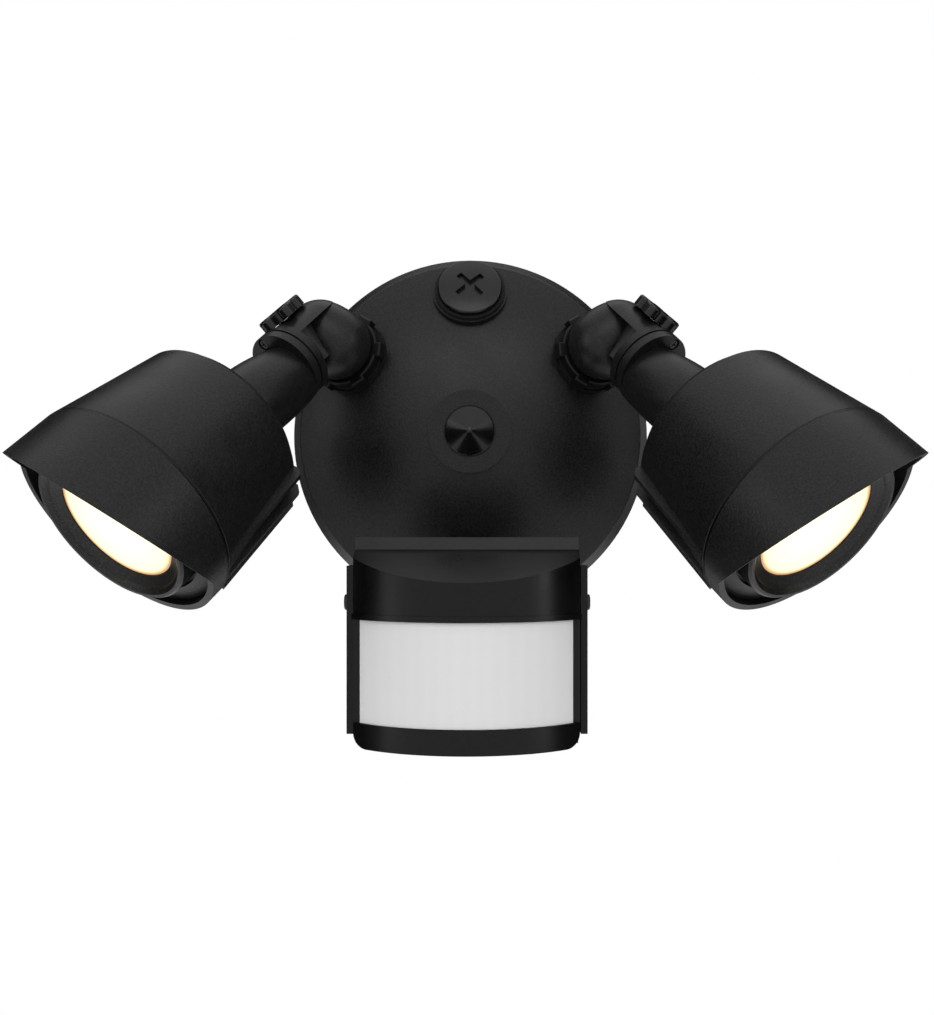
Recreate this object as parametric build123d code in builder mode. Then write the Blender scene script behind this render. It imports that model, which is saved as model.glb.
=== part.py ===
from build123d import *
import os
from math import asin, cos, radians, sin, sqrt

# A twin-head floodlight with a motion sensor, millimetres.
# The wall is the plane Y = 0, the light looks along -Y, +Z is up and +X is to the right.
# The origin is the middle of the mounting crossbar, on the wall.

# ---------------------------------------------------------------- general fits
RUN_FIT = 0.06            # radial clearance of a turning shaft or a thread drawn as a plain bore
SLIP_FIT = 0.15           # clearance between fixed mouldings
SWING_GAP = 0.4           # clearance between faces that sweep past each other
MATCH = 0.01              # how near a radius must be for an edge to be picked by it

# ---------------------------------------------------------------- wall canopy
CANOPY_RADIUS = 63.5
CANOPY_FRONT_RADIUS = 60.3
CANOPY_SKIRT = 7.0
CANOPY_WALL = 2.5
CANOPY_EDGE_FILLET = 0.9
DOME_RADIUS = 112.0
WALL_GASKET_THICKNESS = 2.0
WALL_GASKET_OUTER = 63.0
WALL_GASKET_INNER = 57.0
SEAT_RADIUS = 14.2
SEAT_RISE = 0.25
SEAT_DEPTH = 4.0

# ---------------------------------------------------------------- threaded ports
PORT_CIRCLE = 49.0
PORT_ANGLES = {"right": 33.0, "top": 90.0, "bottom": 270.0}
PORT_BOSS_RADIUS = 13.0
PORT_BOSS_RISE = 1.4
PORT_BOSS_DEPTH = 4.6
THREAD_RADIUS = 10.2
THREAD_REACH = 6.5
WIRE_BORE_RADIUS = 7.2
PORT_GASKET_THICKNESS = 1.2
PORT_GASKET_RADIUS = 12.2
LOCKNUT_THICKNESS = 4.0
LOCKNUT_RADIUS = 12.3
LOCKNUT_LUG_RADIUS = 13.8
LOCKNUT_LUG_WIDTH = 5.0
LOCKNUT_LUGS = 6
LOCKNUT_CHAMFER = 0.5
THREAD_ROOT = 2.0         # how far a threaded shank runs up into its elbow

# ---------------------------------------------------------------- blanking plug
PLUG_RADIUS = 11.2
PLUG_FLANGE_THICKNESS = 1.9
PLUG_CROWN = 1.1
PLUG_EDGE_FILLET = 0.8
PLUG_SHANK_LENGTH = 7.0
PLUG_SHANK_WALL = 2.0
PLUG_SLOT_LENGTH = 11.6
PLUG_SLOT_WIDTH = 2.3
PLUG_SLOT_DEPTH = 1.6
PLUG_SLOT_TURN = 42.0

# ---------------------------------------------------------------- crossbar and centre bolt
CROSSBAR_LENGTH = 106.0
CROSSBAR_WIDTH = 19.0
CROSSBAR_THICKNESS = 2.0
BOX_SCREW_SPACING = 88.9
BOX_SLOT_RADIUS = 2.3
BOX_SLOT_LENGTH = 11.0
CROSSBAR_COLLAR_RADIUS = 4.6
CROSSBAR_COLLAR_HEIGHT = 2.5
BOLT_RADIUS = 2.0
BOLT_HEAD_RADIUS = 3.8
BOLT_HEAD_HEIGHT = 2.4
GROUND_SCREW_X = 24.0
GROUND_SCREW_RADIUS = 1.9
GROUND_HEAD_RADIUS = 4.2
GROUND_HEAD_HEIGHT = 2.2
CAP_RADIUS = 8.45
CAP_SKIRT = 0.8
CAP_HEIGHT = 5.6
CAP_TIP_RADIUS = 0.9
CAP_TIP_RISE = 0.3
CAP_EDGE_FILLET = 0.5
CAP_GROOVE = 0.45
CAP_SINK = 0.5

# ---------------------------------------------------------------- driver inside the canopy
DRIVER_LENGTH = 54.0
DRIVER_WIDTH = 22.0
DRIVER_THICKNESS = 8.6
DRIVER_TOP_Z = -11.5
DRIVER_BACK_Y = -3.2
DRIVER_EAR = 7.0
DRIVER_EAR_THICKNESS = 1.8
DRIVER_CORNER = 1.5
SMALL_SCREW_RADIUS = 1.4
SMALL_HEAD_RADIUS = 2.6
SMALL_HEAD_HEIGHT = 1.7
SCREW_HEAD_ROUND = 0.4    # shares of a screw head's height or radius
SCREW_SLOT_LENGTH = 1.2
SCREW_SLOT_WIDTH = 0.25
SCREW_SLOT_DEPTH = 0.45
POST_RADIUS = 3.2
DRIVER_SCREW_DEPTH = 4.0

# ---------------------------------------------------------------- lamp arm
HEAD_AZIMUTH = 38.6       # turn of the lamp axis from straight ahead towards its own side
HEAD_DROP = 38.2          # fall of the lamp axis below level
HINGE_ROLL = 19.0         # roll of the hinge axis about the lamp axis
VISOR_ROLL = -38.6        # roll of the visor about the lamp axis
BALL_RISE = 12.5          # ball centre above the dome, along the port axis
BALL_RADIUS = 12.0
COLLAR_RISE = 7.2         # cut-off of the ball above the dome
HINGE_FACE = 11.4         # flat top of the elbow, above the ball centre
HINGE_FACE_RADIUS = 8.4
HINGE_SHOULDER = 11.0     # radius of the elbow half-way between its flat top and its ball
HINGE_OFFSET = 10.3       # hinge bolt from the ball centre, towards the lamp
HINGE_LUG_RADIUS = 6.3
HINGE_LUG_DEPTH = 12.0
HINGE_BOLT_RADIUS = 2.4
HINGE_BOLT_DEPTH = 9.5
BARREL_RISE = 5.4         # axis of knuckle, flange and lamp above the ball centre
BARREL_RADIUS = 12.0
BARREL_END = 2.4          # centre of the barrel's round end
FLANGE_START = 17.1
FLANGE_THICKNESS = 2.9
FLANGE_RADIUS = 12.7
SEAL_THICKNESS = 0.8
SEAL_RADIUS = 12.1
SEAL_INNER = 5.5
KNOB_SEAT_RISE = 5.7      # knob seat above the hinge face
KNOB_SEAT_RADIUS = 9.2
KNOB_GAP = 0.3
KNOB_THICKNESS = 3.9
KNOB_HUB_RADIUS = 6.2
KNOB_LOBE_RADIUS = 2.6
KNOB_LOBE_CIRCLE = 6.1
KNOB_LOBES = 5
KNOB_TURN = 0.0
KNOB_FILLET = 0.8
KNOB_ROOF = 1.2
BOLT_HEX_RADIUS = 4.0

# ---------------------------------------------------------------- lamp neck
NECK_ROOT_RADIUS = 10.4
NECK_ROOT_DROP = 2.8      # neck root below the flange centre, along the hinge axis
NECK_MID_RADIUS = 12.0
NECK_MID_DROP = 1.6
NECK_END_RADIUS = 11.6
NECK_BULGE_AT = 10.0
NECK_LENGTH = 33.0
NECK_SPIGOT_RADIUS = 8.0
NECK_BORE_RADIUS = 4.0
NECK_NUT_RADIUS = 11.5
NECK_NUT_THICKNESS = 4.0
LOFT_OVERLAP = 1.0        # how far the neck's ends run into what they join
FLANGE_SCREW_OFFSET = 10.2
FLANGE_SCREW_RADIUS = 1.3
FLANGE_SCREW_HEAD = 1.9
FLANGE_SCREW_HEAD_HEIGHT = 1.2
FLANGE_SCREW_SINK = 1.5

# ---------------------------------------------------------------- lamp head
HEAD_BACK_RADIUS = 29.4
HEAD_SEAM_RADIUS = 34.9
HEAD_LENGTH = 42.7
HEAD_WALL = 2.6
HEAD_BACK_CHAMFER = 3.0
FIN_COUNT = 15
FIN_ARC = 196.0
FIN_BACK_RADIUS = 33.2
FIN_SEAM_RADIUS = 35.5
FIN_THICKNESS = 1.7
FIN_ROOT_DEPTH = 1.0      # how far the fins run into the housing wall
FIN_END_CHAMFER = 2.0
FIN_SEAM_GAP = 0.5
SHROUD_RIM = 7.2          # ends of the visor above the seam
SHROUD_RIM_FALL = 3.4     # how far the rim leans back opposite the visor
SHROUD_WALL = 2.0
SHROUD_SPIGOT_DEPTH = 3.0
SHROUD_SPIGOT_WALL = 1.6
SHROUD_SPIGOT_STEP = 1.2
VISOR_REACH = 19.6        # visor tip beyond its ends
LEDGE_SETBACK = 6.0       # ledge that carries the LED board, behind the seam
LEDGE_THICKNESS = 3.0
LEDGE_INNER_RADIUS = 21.0
LED_BOARD_RADIUS = 23.4
LED_BOARD_THICKNESS = 1.6
LED_RING_RADII = {6: 7.0, 12: 14.8}
LED_SIZE = 3.4
LED_HEIGHT = 0.8
BEZEL_EDGE = 2.4          # outer edge of the sloping face, above the seam
BEZEL_SLOPE_TOP = 4.0
BEZEL_GROOVE_OUTER = 27.2
BEZEL_RING_OUTER = 26.2
BEZEL_GROOVE_FLOOR = 1.8
BEZEL_RING_FRONT = 10.0
BEZEL_RING_LAND = 24.6    # inner edge of the ring's flat front
BEZEL_RING_CHAMFER = 0.7
BEZEL_STEP_OUTER = 23.4
BEZEL_STEP_INNER = 23.0
BEZEL_STEP_TOP = 9.1
BEZEL_STEP_BOTTOM = 8.4
BEZEL_OPENING_RADIUS = 19.9
BEZEL_LIP_FRONT = 6.9
BEZEL_LIP_BACK = 5.6
BEZEL_SCREW_DEPTH = 4.0
BEZEL_SCREW_CIRCLE = 27.0
BEZEL_SCREWS = 3
BEZEL_SCREW_TURN = 30.0
BEZEL_SCREW_HEAD = 2.2
BEZEL_SCREW_HEAD_HEIGHT = 1.4
LENS_RADIUS = 21.4
LENS_THICKNESS = 2.0
LENS_SKIRT_WALL = 1.5
LENS_CENTRE_RISE = 0.9
LENS_CROWN = 0.8

# ---------------------------------------------------------------- motion sensor
SENSOR_HALF_WIDTH = 33.0
SENSOR_BACK_Y = -66.0
SENSOR_SPLIT_Y = -83.0
SENSOR_SIDE_Y = -90.5
SENSOR_FRONT_Y = -107.0
SENSOR_TOP_Z = -36.2
SENSOR_LENS_TOP_Z = -60.0
SENSOR_LENS_BOTTOM_Z = -90.0
SENSOR_BOTTOM_Z = -97.2
SENSOR_WALL = 2.0
HOOD_BROW_DROP = 3.6
HOOD_BROW_DEPTH = 1.8
HOOD_BROW_START = 0.7
HOOD_SLOPE = 0.41
HOOD_LIP_HEIGHT = 1.6
HOOD_LIP_PROUD = 0.5
HOOD_OVERRUN = 4.0        # roof outline beyond the bowed front that trims it
REAR_CHAMFER = 12.0
REAR_CHAMFER_HEIGHT = 15.0
REAR_FILLET = 3.0
BASE_SIDE_ROUND = 4.2
LENS_SIDE_STRIP = 2.0
LENS_INSET = 0.5
LENS_TUCK = 1.0           # Fresnel lens edge in front of the split
FRESNEL_THICKNESS = 1.4
YOKE_GAP = 1.0
YOKE_THICKNESS = 2.0
YOKE_BACK_Y = -54.0
YOKE_PLATE = 3.0
YOKE_FRONT_Y = -80.5
YOKE_EAR_DEPTH = 12.0
YOKE_TOP_Z = -44.7
YOKE_BOTTOM_Z = -94.9
PIVOT_Y = -77.5
PIVOT_Z = -55.7
PIVOT_RADIUS = 1.6
PIVOT_HEAD_RADIUS = 2.4
PIVOT_HEAD = 0.9
PIVOT_ENGAGE = 2.6
PIVOT_BOSS_WALL = 1.6
PIVOT_END_GAP = 0.4
PIVOT_HEAD_FILLET = 0.6
PAN_Y = -45.4
PAN_EYE_RADIUS = 7.0
PAN_EYE_TOP_Z = -54.0
PAN_EYE_BOTTOM_Z = -74.0
PAN_LUG_THICKNESS = 4.0
PAN_SCREW_RADIUS = 2.4
PAN_HEAD_RADIUS = 4.4
PAN_HEAD_HEIGHT = 2.4
STEM_NECK_RADIUS = 4.6
STEM_COLLAR = 1.5         # stem thread above the locknut
STEM_FLOOR = 2.0
BOARD_THICKNESS = 1.6
BOARD_Y = -86.5
BOARD_HALF_WIDTH = 25.0
BOARD_TOP_Z = -54.0
BOARD_BOTTOM_Z = -88.0
BOARD_POST_X = 20.0
BOARD_POST_INSET = 5.0    # posts from the board's top and bottom edges
BOARD_POST_RADIUS = 2.8
BOARD_SCREW_DEPTH = 6.0
BOARD_CHIP_HEIGHT = 1.5
BOARD_CHIPS = [(-15.0, 0.0, 7.0, 5.0), (15.0, 2.0, 7.0, 5.0), (13.0, -7.0, 5.0, 5.0)]
PIR_RADIUS = 4.6
PIR_HEIGHT = 4.2
PIR_FLANGE = 0.7
PIR_FLANGE_STEP = 0.5
PIR_WINDOW_LENGTH = 4.0
PIR_WINDOW_WIDTH = 3.0
PIR_WINDOW_DEPTH = 0.3
DIAL_SPACING = 17.0
DIAL_RADIUS = 4.6
DIAL_Y = -93.0
DIAL_PROUD = 1.0
DIAL_BRIM = 0.8
DIAL_BRIM_THICKNESS = 1.0
DIAL_SLOT_MARGIN = 0.8
DIAL_SLOT_WIDTH = 1.2
DIAL_SLOT_DEPTH = 0.9
DIAL_CHAMFER = 0.4
CASE_SCREW_X = 27.0
CASE_SCREW_DROP = 2.6     # case screws below the lens
CASE_BOSS_WIDTH = 6.4
CASE_BOSS_LENGTH = 5.0
CASE_TUNNEL_LENGTH = 4.0
CASE_TUNNEL_HEIGHT = 6.2

# ---------------------------------------------------------------- derived places
DOME_SAG = DOME_RADIUS - sqrt(DOME_RADIUS**2 - CANOPY_FRONT_RADIUS**2)
SKIRT_BACK_Y = -WALL_GASKET_THICKNESS
SKIRT_FRONT_Y = SKIRT_BACK_Y - CANOPY_SKIRT
APEX_Y = SKIRT_FRONT_Y - DOME_SAG
DOME_CENTRE = Vector(0, APEX_Y + DOME_RADIUS, 0)
SEAT_Y = APEX_Y - SEAT_RISE
CAP_SEAT_Y = SEAT_Y + CAP_SINK
PORT_TILT = asin(PORT_CIRCLE / DOME_RADIUS)
ALL_PORT_ANGLES = list(PORT_ANGLES.values()) + [180 - PORT_ANGLES["right"]]
THREAD_BORE = THREAD_RADIUS + RUN_FIT
PORT_SEAT = PORT_BOSS_RISE + PORT_GASKET_THICKNESS
LOCKNUT_TOP = PORT_SEAT + LOCKNUT_THICKNESS
DRIVER_MID_Z = DRIVER_TOP_Z - DRIVER_WIDTH / 2
DRIVER_SCREW_X = (DRIVER_LENGTH + DRIVER_EAR) / 2
DRIVER_FRONT_Y = DRIVER_BACK_Y - DRIVER_THICKNESS
KNOB_SEAT = HINGE_FACE + KNOB_SEAT_RISE
KNOB_BASE = KNOB_SEAT + KNOB_GAP
KNUCKLE_BASE = HINGE_FACE + SLIP_FIT
FLANGE_FACE = FLANGE_START + FLANGE_THICKNESS
NECK_START = FLANGE_FACE + SEAL_THICKNESS
NECK_BASE = NECK_START + FLANGE_THICKNESS
HEAD_BACK = NECK_BASE + NECK_LENGTH
SEAM = HEAD_LENGTH
HEAD_TAPER = (HEAD_SEAM_RADIUS - HEAD_BACK_RADIUS) / HEAD_LENGTH
RIM = SEAM + SHROUD_RIM
SHROUD_BORE = HEAD_SEAM_RADIUS - SHROUD_WALL
SPIGOT_RADIUS = HEAD_SEAM_RADIUS - HEAD_WALL - HEAD_TAPER * SHROUD_SPIGOT_DEPTH - SLIP_FIT
SPIGOT_BORE = SPIGOT_RADIUS - SHROUD_SPIGOT_WALL
SPIGOT_TOP = SEAM + SHROUD_SPIGOT_STEP
LEDGE_TOP = SEAM - LEDGE_SETBACK
LEDGE_BOTTOM = LEDGE_TOP - LEDGE_THICKNESS
BOARD_FACE = LEDGE_TOP + LED_BOARD_THICKNESS
BEZEL_PLUG_RADIUS = SPIGOT_BORE - SLIP_FIT
BEZEL_RADIUS = SHROUD_BORE - SLIP_FIT
LENS_FRONT = SEAM + BEZEL_LIP_BACK
PIR_Z = (SENSOR_LENS_TOP_Z + SENSOR_LENS_BOTTOM_Z) / 2
SENSOR_FLOOR_Z = SENSOR_BOTTOM_Z + SENSOR_WALL
CASE_SCREW_Z = SENSOR_LENS_BOTTOM_Z - CASE_SCREW_DROP
FRONT_BOW = SENSOR_SIDE_Y - SENSOR_FRONT_Y
FRONT_BOW_RADIUS = (SENSOR_HALF_WIDTH**2 + FRONT_BOW**2) / (2 * FRONT_BOW)
PAN_EYE_MID_Z = (PAN_EYE_TOP_Z + PAN_EYE_BOTTOM_Z) / 2
YOKE_INNER = SENSOR_HALF_WIDTH + YOKE_GAP
YOKE_OUTER = YOKE_INNER + YOKE_THICKNESS
FORK_TOP_Z = PAN_EYE_TOP_Z + SLIP_FIT + PAN_LUG_THICKNESS
FORK_BOTTOM_Z = PAN_EYE_BOTTOM_Z - SLIP_FIT - PAN_LUG_THICKNESS
PIVOT_BORE = PIVOT_RADIUS + RUN_FIT
DIAL_PLACES = (-DIAL_SPACING, 0.0, DIAL_SPACING)
BOARD_POST_PLACES = [
    (x, z)
    for x in (-BOARD_POST_X, BOARD_POST_X)
    for z in (BOARD_TOP_Z - BOARD_POST_INSET, BOARD_BOTTOM_Z + BOARD_POST_INSET)
]


# ---------------------------------------------------------------- planes
def facing(y, x=0.0, z=0.0):
    """Plane parallel to the wall that looks away from it: local X is +X, local Y is +Z."""
    return Plane(origin=(x, y, z), x_dir=(1, 0, 0), z_dir=(0, -1, 0))


def backing(y, x=0.0, z=0.0):
    """Plane parallel to the wall that looks at it: local X is -X, local Y is +Z."""
    return Plane(origin=(x, y, z), x_dir=(-1, 0, 0), z_dir=(0, 1, 0))


def level(height):
    """Level plane: local X is +X and local Y is +Y."""
    return Plane(origin=(0, 0, height), x_dir=(1, 0, 0), z_dir=(0, 0, 1))


def port_plane(angle):
    """Plane on the dome at a port; its Z axis points out of the canopy along the port."""
    around = radians(angle)
    outwards = Vector(cos(around), 0, sin(around))
    axis = outwards * sin(PORT_TILT) - Vector(0, 1, 0) * cos(PORT_TILT)
    sideways = Vector(-sin(around), 0, cos(around))
    return Plane(origin=DOME_CENTRE + axis * DOME_RADIUS, x_dir=sideways, z_dir=axis)


def section_of(plane):
    """Half plane through a plane's Z axis: local X runs outwards, local Y along that axis."""
    return Plane(origin=plane.origin, x_dir=plane.x_dir, z_dir=-plane.y_dir)


def axis_of(plane):
    """The Z axis of a plane."""
    return Axis(plane.origin, plane.z_dir)


def shifted(plane, x=0.0, y=0.0, z=0.0):
    """A copy of a plane moved along its own axes."""
    place = plane.from_local_coords(Vector(x, y, z))
    return Plane(origin=place, x_dir=plane.x_dir, z_dir=plane.z_dir)


def pivot_plane(side, reach):
    """Plane square to a tilt pin, looking out of the sensor's side."""
    return Plane(origin=(side * reach, PIVOT_Y, PIVOT_Z), x_dir=(0, side, 0), z_dir=(side, 0, 0))


def lamp_direction():
    """Unit vector of the right lamp's axis."""
    turn = radians(HEAD_AZIMUTH)
    drop = radians(HEAD_DROP)
    return Vector(cos(drop) * sin(turn), -cos(drop) * cos(turn), -sin(drop))


def lamp_across(roll):
    """Unit vector square to the right lamp's axis; roll 0 is the uppermost one."""
    turn = radians(HEAD_AZIMUTH)
    drop = radians(HEAD_DROP)
    sideways = Vector(cos(turn), sin(turn), 0)
    upper = Vector(sin(drop) * sin(turn), -sin(drop) * cos(turn), cos(drop))
    return upper * cos(radians(roll)) + sideways * sin(radians(roll))


TOP_PORT = port_plane(PORT_ANGLES["top"])
BOTTOM_PORT = port_plane(PORT_ANGLES["bottom"])
RIGHT_PORT = port_plane(PORT_ANGLES["right"])
# arm: origin at the ball's centre, X along the lamp, Z along the hinge bolt
ARM = Plane(
    origin=RIGHT_PORT.from_local_coords(Vector(0, 0, BALL_RISE)),
    x_dir=lamp_direction(),
    z_dir=lamp_across(HINGE_ROLL),
)
HINGE = shifted(ARM, x=HINGE_OFFSET)
# barrel: on the lamp's axis, Z along the lamp, X along the hinge bolt
BARREL = Plane(
    origin=ARM.from_local_coords(Vector(0, 0, BARREL_RISE)),
    x_dir=ARM.z_dir,
    z_dir=ARM.x_dir,
)
# head: origin at its back, Z along the lamp, Y towards the visor
HEAD = Plane(
    origin=BARREL.from_local_coords(Vector(0, 0, HEAD_BACK)),
    x_dir=lamp_across(VISOR_ROLL).cross(lamp_direction()),
    z_dir=lamp_direction(),
)
# side view of the head: local X is the visor's side, local Y runs along the lamp
HEAD_SIDE = Plane(origin=HEAD.origin, x_dir=HEAD.y_dir, z_dir=HEAD.x_dir)
# side view of the sensor: local X is +Y and local Y is +Z
SENSOR_SIDE = Plane(origin=(0, 0, 0), x_dir=(0, 1, 0), z_dir=(1, 0, 0))
WALL_PLANE = facing(0)
DRIVER_PLANE = facing(DRIVER_FRONT_Y)


# ---------------------------------------------------------------- shared shapes
def turned(plane, outline):
    """A piece turned about a plane's Z axis from (radius, height) points."""
    with BuildPart() as piece:
        with BuildSketch(section_of(plane)):
            with BuildLine():
                Polyline(*outline, close=True)
            make_face()
        revolve(axis=axis_of(plane))
    return piece.part


def ring(plane, outer, inner, bottom, top):
    """A plain ring square to a plane's Z axis."""
    return turned(plane, [(inner, bottom), (outer, bottom), (outer, top), (inner, top)])


def pan_head_screw(plane, radius, length, head_radius, head_height):
    """A screw whose head sits on a plane and whose shank runs down its -Z axis."""
    with BuildPart() as screw:
        with BuildSketch(plane.offset(-length)):
            Circle(radius)
        extrude(amount=length)
        with BuildSketch(plane):
            Circle(head_radius)
        extrude(amount=head_height)
        fillet(screw.faces().sort_by(axis_of(plane))[-1].edges(), head_height * SCREW_HEAD_ROUND)
        with BuildSketch(plane.offset(head_height)):
            Rectangle(head_radius * SCREW_SLOT_LENGTH, head_radius * SCREW_SLOT_WIDTH)
            Rectangle(head_radius * SCREW_SLOT_WIDTH, head_radius * SCREW_SLOT_LENGTH)
        extrude(amount=-head_height * SCREW_SLOT_DEPTH, mode=Mode.SUBTRACT)
    return screw.part


def save(name, part):
    """Write one finished piece under its node name."""
    part.label = name
    export_step(part, f"parts/{name}.step")


# ================================================================ wall canopy
def dome_y(dome_radius, radius):
    """Depth of a dome about the canopy's centre at a given radius."""
    return DOME_CENTRE.Y - sqrt(dome_radius**2 - radius**2)


def make_canopy():
    front = CANOPY_FRONT_RADIUS
    inner_dome = DOME_RADIUS - CANOPY_WALL
    inner_front = front - CANOPY_WALL
    inner_back = CANOPY_RADIUS - CANOPY_WALL
    with BuildPart() as canopy:
        with BuildSketch(Plane.XY):
            with BuildLine():
                Line((0, APEX_Y), (0, APEX_Y + CANOPY_WALL))
                ThreePointArc(
                    (0, APEX_Y + CANOPY_WALL),
                    (inner_front / 2, dome_y(inner_dome, inner_front / 2)),
                    (inner_front, dome_y(inner_dome, inner_front)),
                )
                Line((inner_front, dome_y(inner_dome, inner_front)), (inner_back, SKIRT_BACK_Y))
                Line((inner_back, SKIRT_BACK_Y), (CANOPY_RADIUS, SKIRT_BACK_Y))
                Line((CANOPY_RADIUS, SKIRT_BACK_Y), (front, SKIRT_FRONT_Y))
                ThreePointArc(
                    (front, SKIRT_FRONT_Y),
                    (front / 2, dome_y(DOME_RADIUS, front / 2)),
                    (0, APEX_Y),
                )
            make_face()
        revolve(axis=Axis.Y)
        rim = canopy.edges().filter_by(GeomType.CIRCLE).sort_by(
            lambda edge: abs(edge.radius - front) + abs(edge.center().Y - SKIRT_FRONT_Y)
        )[0]
        fillet(rim, CANOPY_EDGE_FILLET)
        # port bosses
        for angle in ALL_PORT_ANGLES:
            with BuildSketch(port_plane(angle).offset(-PORT_BOSS_DEPTH)):
                Circle(PORT_BOSS_RADIUS)
            extrude(amount=PORT_BOSS_DEPTH + PORT_BOSS_RISE)
        # flat seat round the bolt cap, with the cap's recess
        with BuildSketch(facing(SEAT_Y + SEAT_DEPTH)):
            Circle(SEAT_RADIUS)
        extrude(amount=SEAT_DEPTH)
        with BuildSketch(facing(CAP_SEAT_Y)):
            Circle(CAP_RADIUS + CAP_GROOVE)
        extrude(amount=SEAT_DEPTH, mode=Mode.SUBTRACT)
        with BuildSketch(facing(CAP_SEAT_Y)):
            Circle(BOLT_RADIUS + SLIP_FIT)
        extrude(amount=-SEAT_DEPTH, mode=Mode.SUBTRACT)
        # posts for the driver
        for x in (-DRIVER_SCREW_X, DRIVER_SCREW_X):
            with BuildSketch(DRIVER_PLANE):
                with Locations((x, DRIVER_MID_Z)):
                    Circle(POST_RADIUS)
            extrude(until=Until.NEXT)
            with BuildSketch(DRIVER_PLANE):
                with Locations((x, DRIVER_MID_Z)):
                    Circle(SMALL_SCREW_RADIUS + RUN_FIT)
            extrude(amount=DRIVER_SCREW_DEPTH, mode=Mode.SUBTRACT)
        # threaded bores
        for angle in ALL_PORT_ANGLES:
            with BuildSketch(port_plane(angle).offset(PORT_BOSS_RISE)):
                Circle(THREAD_BORE)
            extrude(amount=-(PORT_BOSS_RISE + PORT_BOSS_DEPTH + CANOPY_WALL), mode=Mode.SUBTRACT)
    return canopy.part


def make_canopy_gasket():
    return ring(WALL_PLANE, WALL_GASKET_OUTER, WALL_GASKET_INNER, 0, WALL_GASKET_THICKNESS)


def make_crossbar():
    with BuildPart() as crossbar:
        with BuildSketch(WALL_PLANE):
            SlotOverall(CROSSBAR_LENGTH, CROSSBAR_WIDTH)
        extrude(amount=CROSSBAR_THICKNESS)
        with BuildSketch(WALL_PLANE.offset(CROSSBAR_THICKNESS)):
            Circle(CROSSBAR_COLLAR_RADIUS)
        extrude(amount=CROSSBAR_COLLAR_HEIGHT)
        with BuildSketch(WALL_PLANE):
            with Locations((-BOX_SCREW_SPACING / 2, 0), (BOX_SCREW_SPACING / 2, 0)):
                SlotOverall(BOX_SLOT_LENGTH, 2 * BOX_SLOT_RADIUS)
            Circle(BOLT_RADIUS + RUN_FIT)
            with Locations((GROUND_SCREW_X, 0)):
                Circle(GROUND_SCREW_RADIUS + RUN_FIT)
        extrude(amount=CROSSBAR_THICKNESS + CROSSBAR_COLLAR_HEIGHT, mode=Mode.SUBTRACT)
    return crossbar.part


def make_ground_screw():
    seat = shifted(WALL_PLANE, x=GROUND_SCREW_X, z=CROSSBAR_THICKNESS)
    return pan_head_screw(
        seat, GROUND_SCREW_RADIUS, CROSSBAR_THICKNESS, GROUND_HEAD_RADIUS, GROUND_HEAD_HEIGHT
    )


def make_centre_bolt():
    return pan_head_screw(
        facing(CAP_SEAT_Y), BOLT_RADIUS, -CAP_SEAT_Y, BOLT_HEAD_RADIUS, BOLT_HEAD_HEIGHT
    )


def make_centre_cap():
    base = facing(CAP_SEAT_Y)
    hollow = BOLT_HEAD_RADIUS + SLIP_FIT
    ceiling = BOLT_HEAD_HEIGHT + SLIP_FIT
    outline = [
        (hollow, 0),
        (CAP_RADIUS, 0),
        (CAP_RADIUS, CAP_SINK + CAP_SKIRT),
        (CAP_TIP_RADIUS, CAP_HEIGHT),
        (0, CAP_HEIGHT + CAP_TIP_RISE),
        (0, ceiling),
        (hollow, ceiling),
    ]
    with BuildPart() as cap:
        add(turned(base, outline))
        brim = cap.edges().filter_by(GeomType.CIRCLE).filter_by(
            lambda edge: abs(edge.radius - CAP_RADIUS) < MATCH
        )
        fillet(brim.sort_by(axis_of(base))[-1], CAP_EDGE_FILLET)
    return cap.part


# ================================================================ blanking plug in the top port
def make_port_plug():
    top = PORT_SEAT + PLUG_FLANGE_THICKNESS
    shank_end = PORT_SEAT - PLUG_SHANK_LENGTH
    shank_bore = THREAD_RADIUS - PLUG_SHANK_WALL
    crown_radius = (PLUG_RADIUS**2 + PLUG_CROWN**2) / (2 * PLUG_CROWN)
    with BuildPart() as plug:
        with BuildSketch(section_of(TOP_PORT)):
            with BuildLine():
                Polyline(
                    (0, top + PLUG_CROWN),
                    (0, PORT_SEAT),
                    (shank_bore, PORT_SEAT),
                    (shank_bore, shank_end),
                    (THREAD_RADIUS, shank_end),
                    (THREAD_RADIUS, PORT_SEAT),
                    (PLUG_RADIUS, PORT_SEAT),
                    (PLUG_RADIUS, top),
                )
                RadiusArc((0, top + PLUG_CROWN), (PLUG_RADIUS, top), crown_radius)
            make_face()
        revolve(axis=axis_of(TOP_PORT))
        brim = plug.edges().filter_by(GeomType.CIRCLE).filter_by(
            lambda edge: abs(edge.radius - PLUG_RADIUS) < MATCH
        )
        fillet(brim.sort_by(axis_of(TOP_PORT))[-1], PLUG_EDGE_FILLET)
        with BuildSketch(TOP_PORT.offset(top + PLUG_CROWN)):
            Rectangle(PLUG_SLOT_LENGTH, PLUG_SLOT_WIDTH, rotation=PLUG_SLOT_TURN)
            Rectangle(PLUG_SLOT_WIDTH, PLUG_SLOT_LENGTH, rotation=PLUG_SLOT_TURN)
        extrude(amount=-PLUG_SLOT_DEPTH, mode=Mode.SUBTRACT)
    return plug.part


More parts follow.
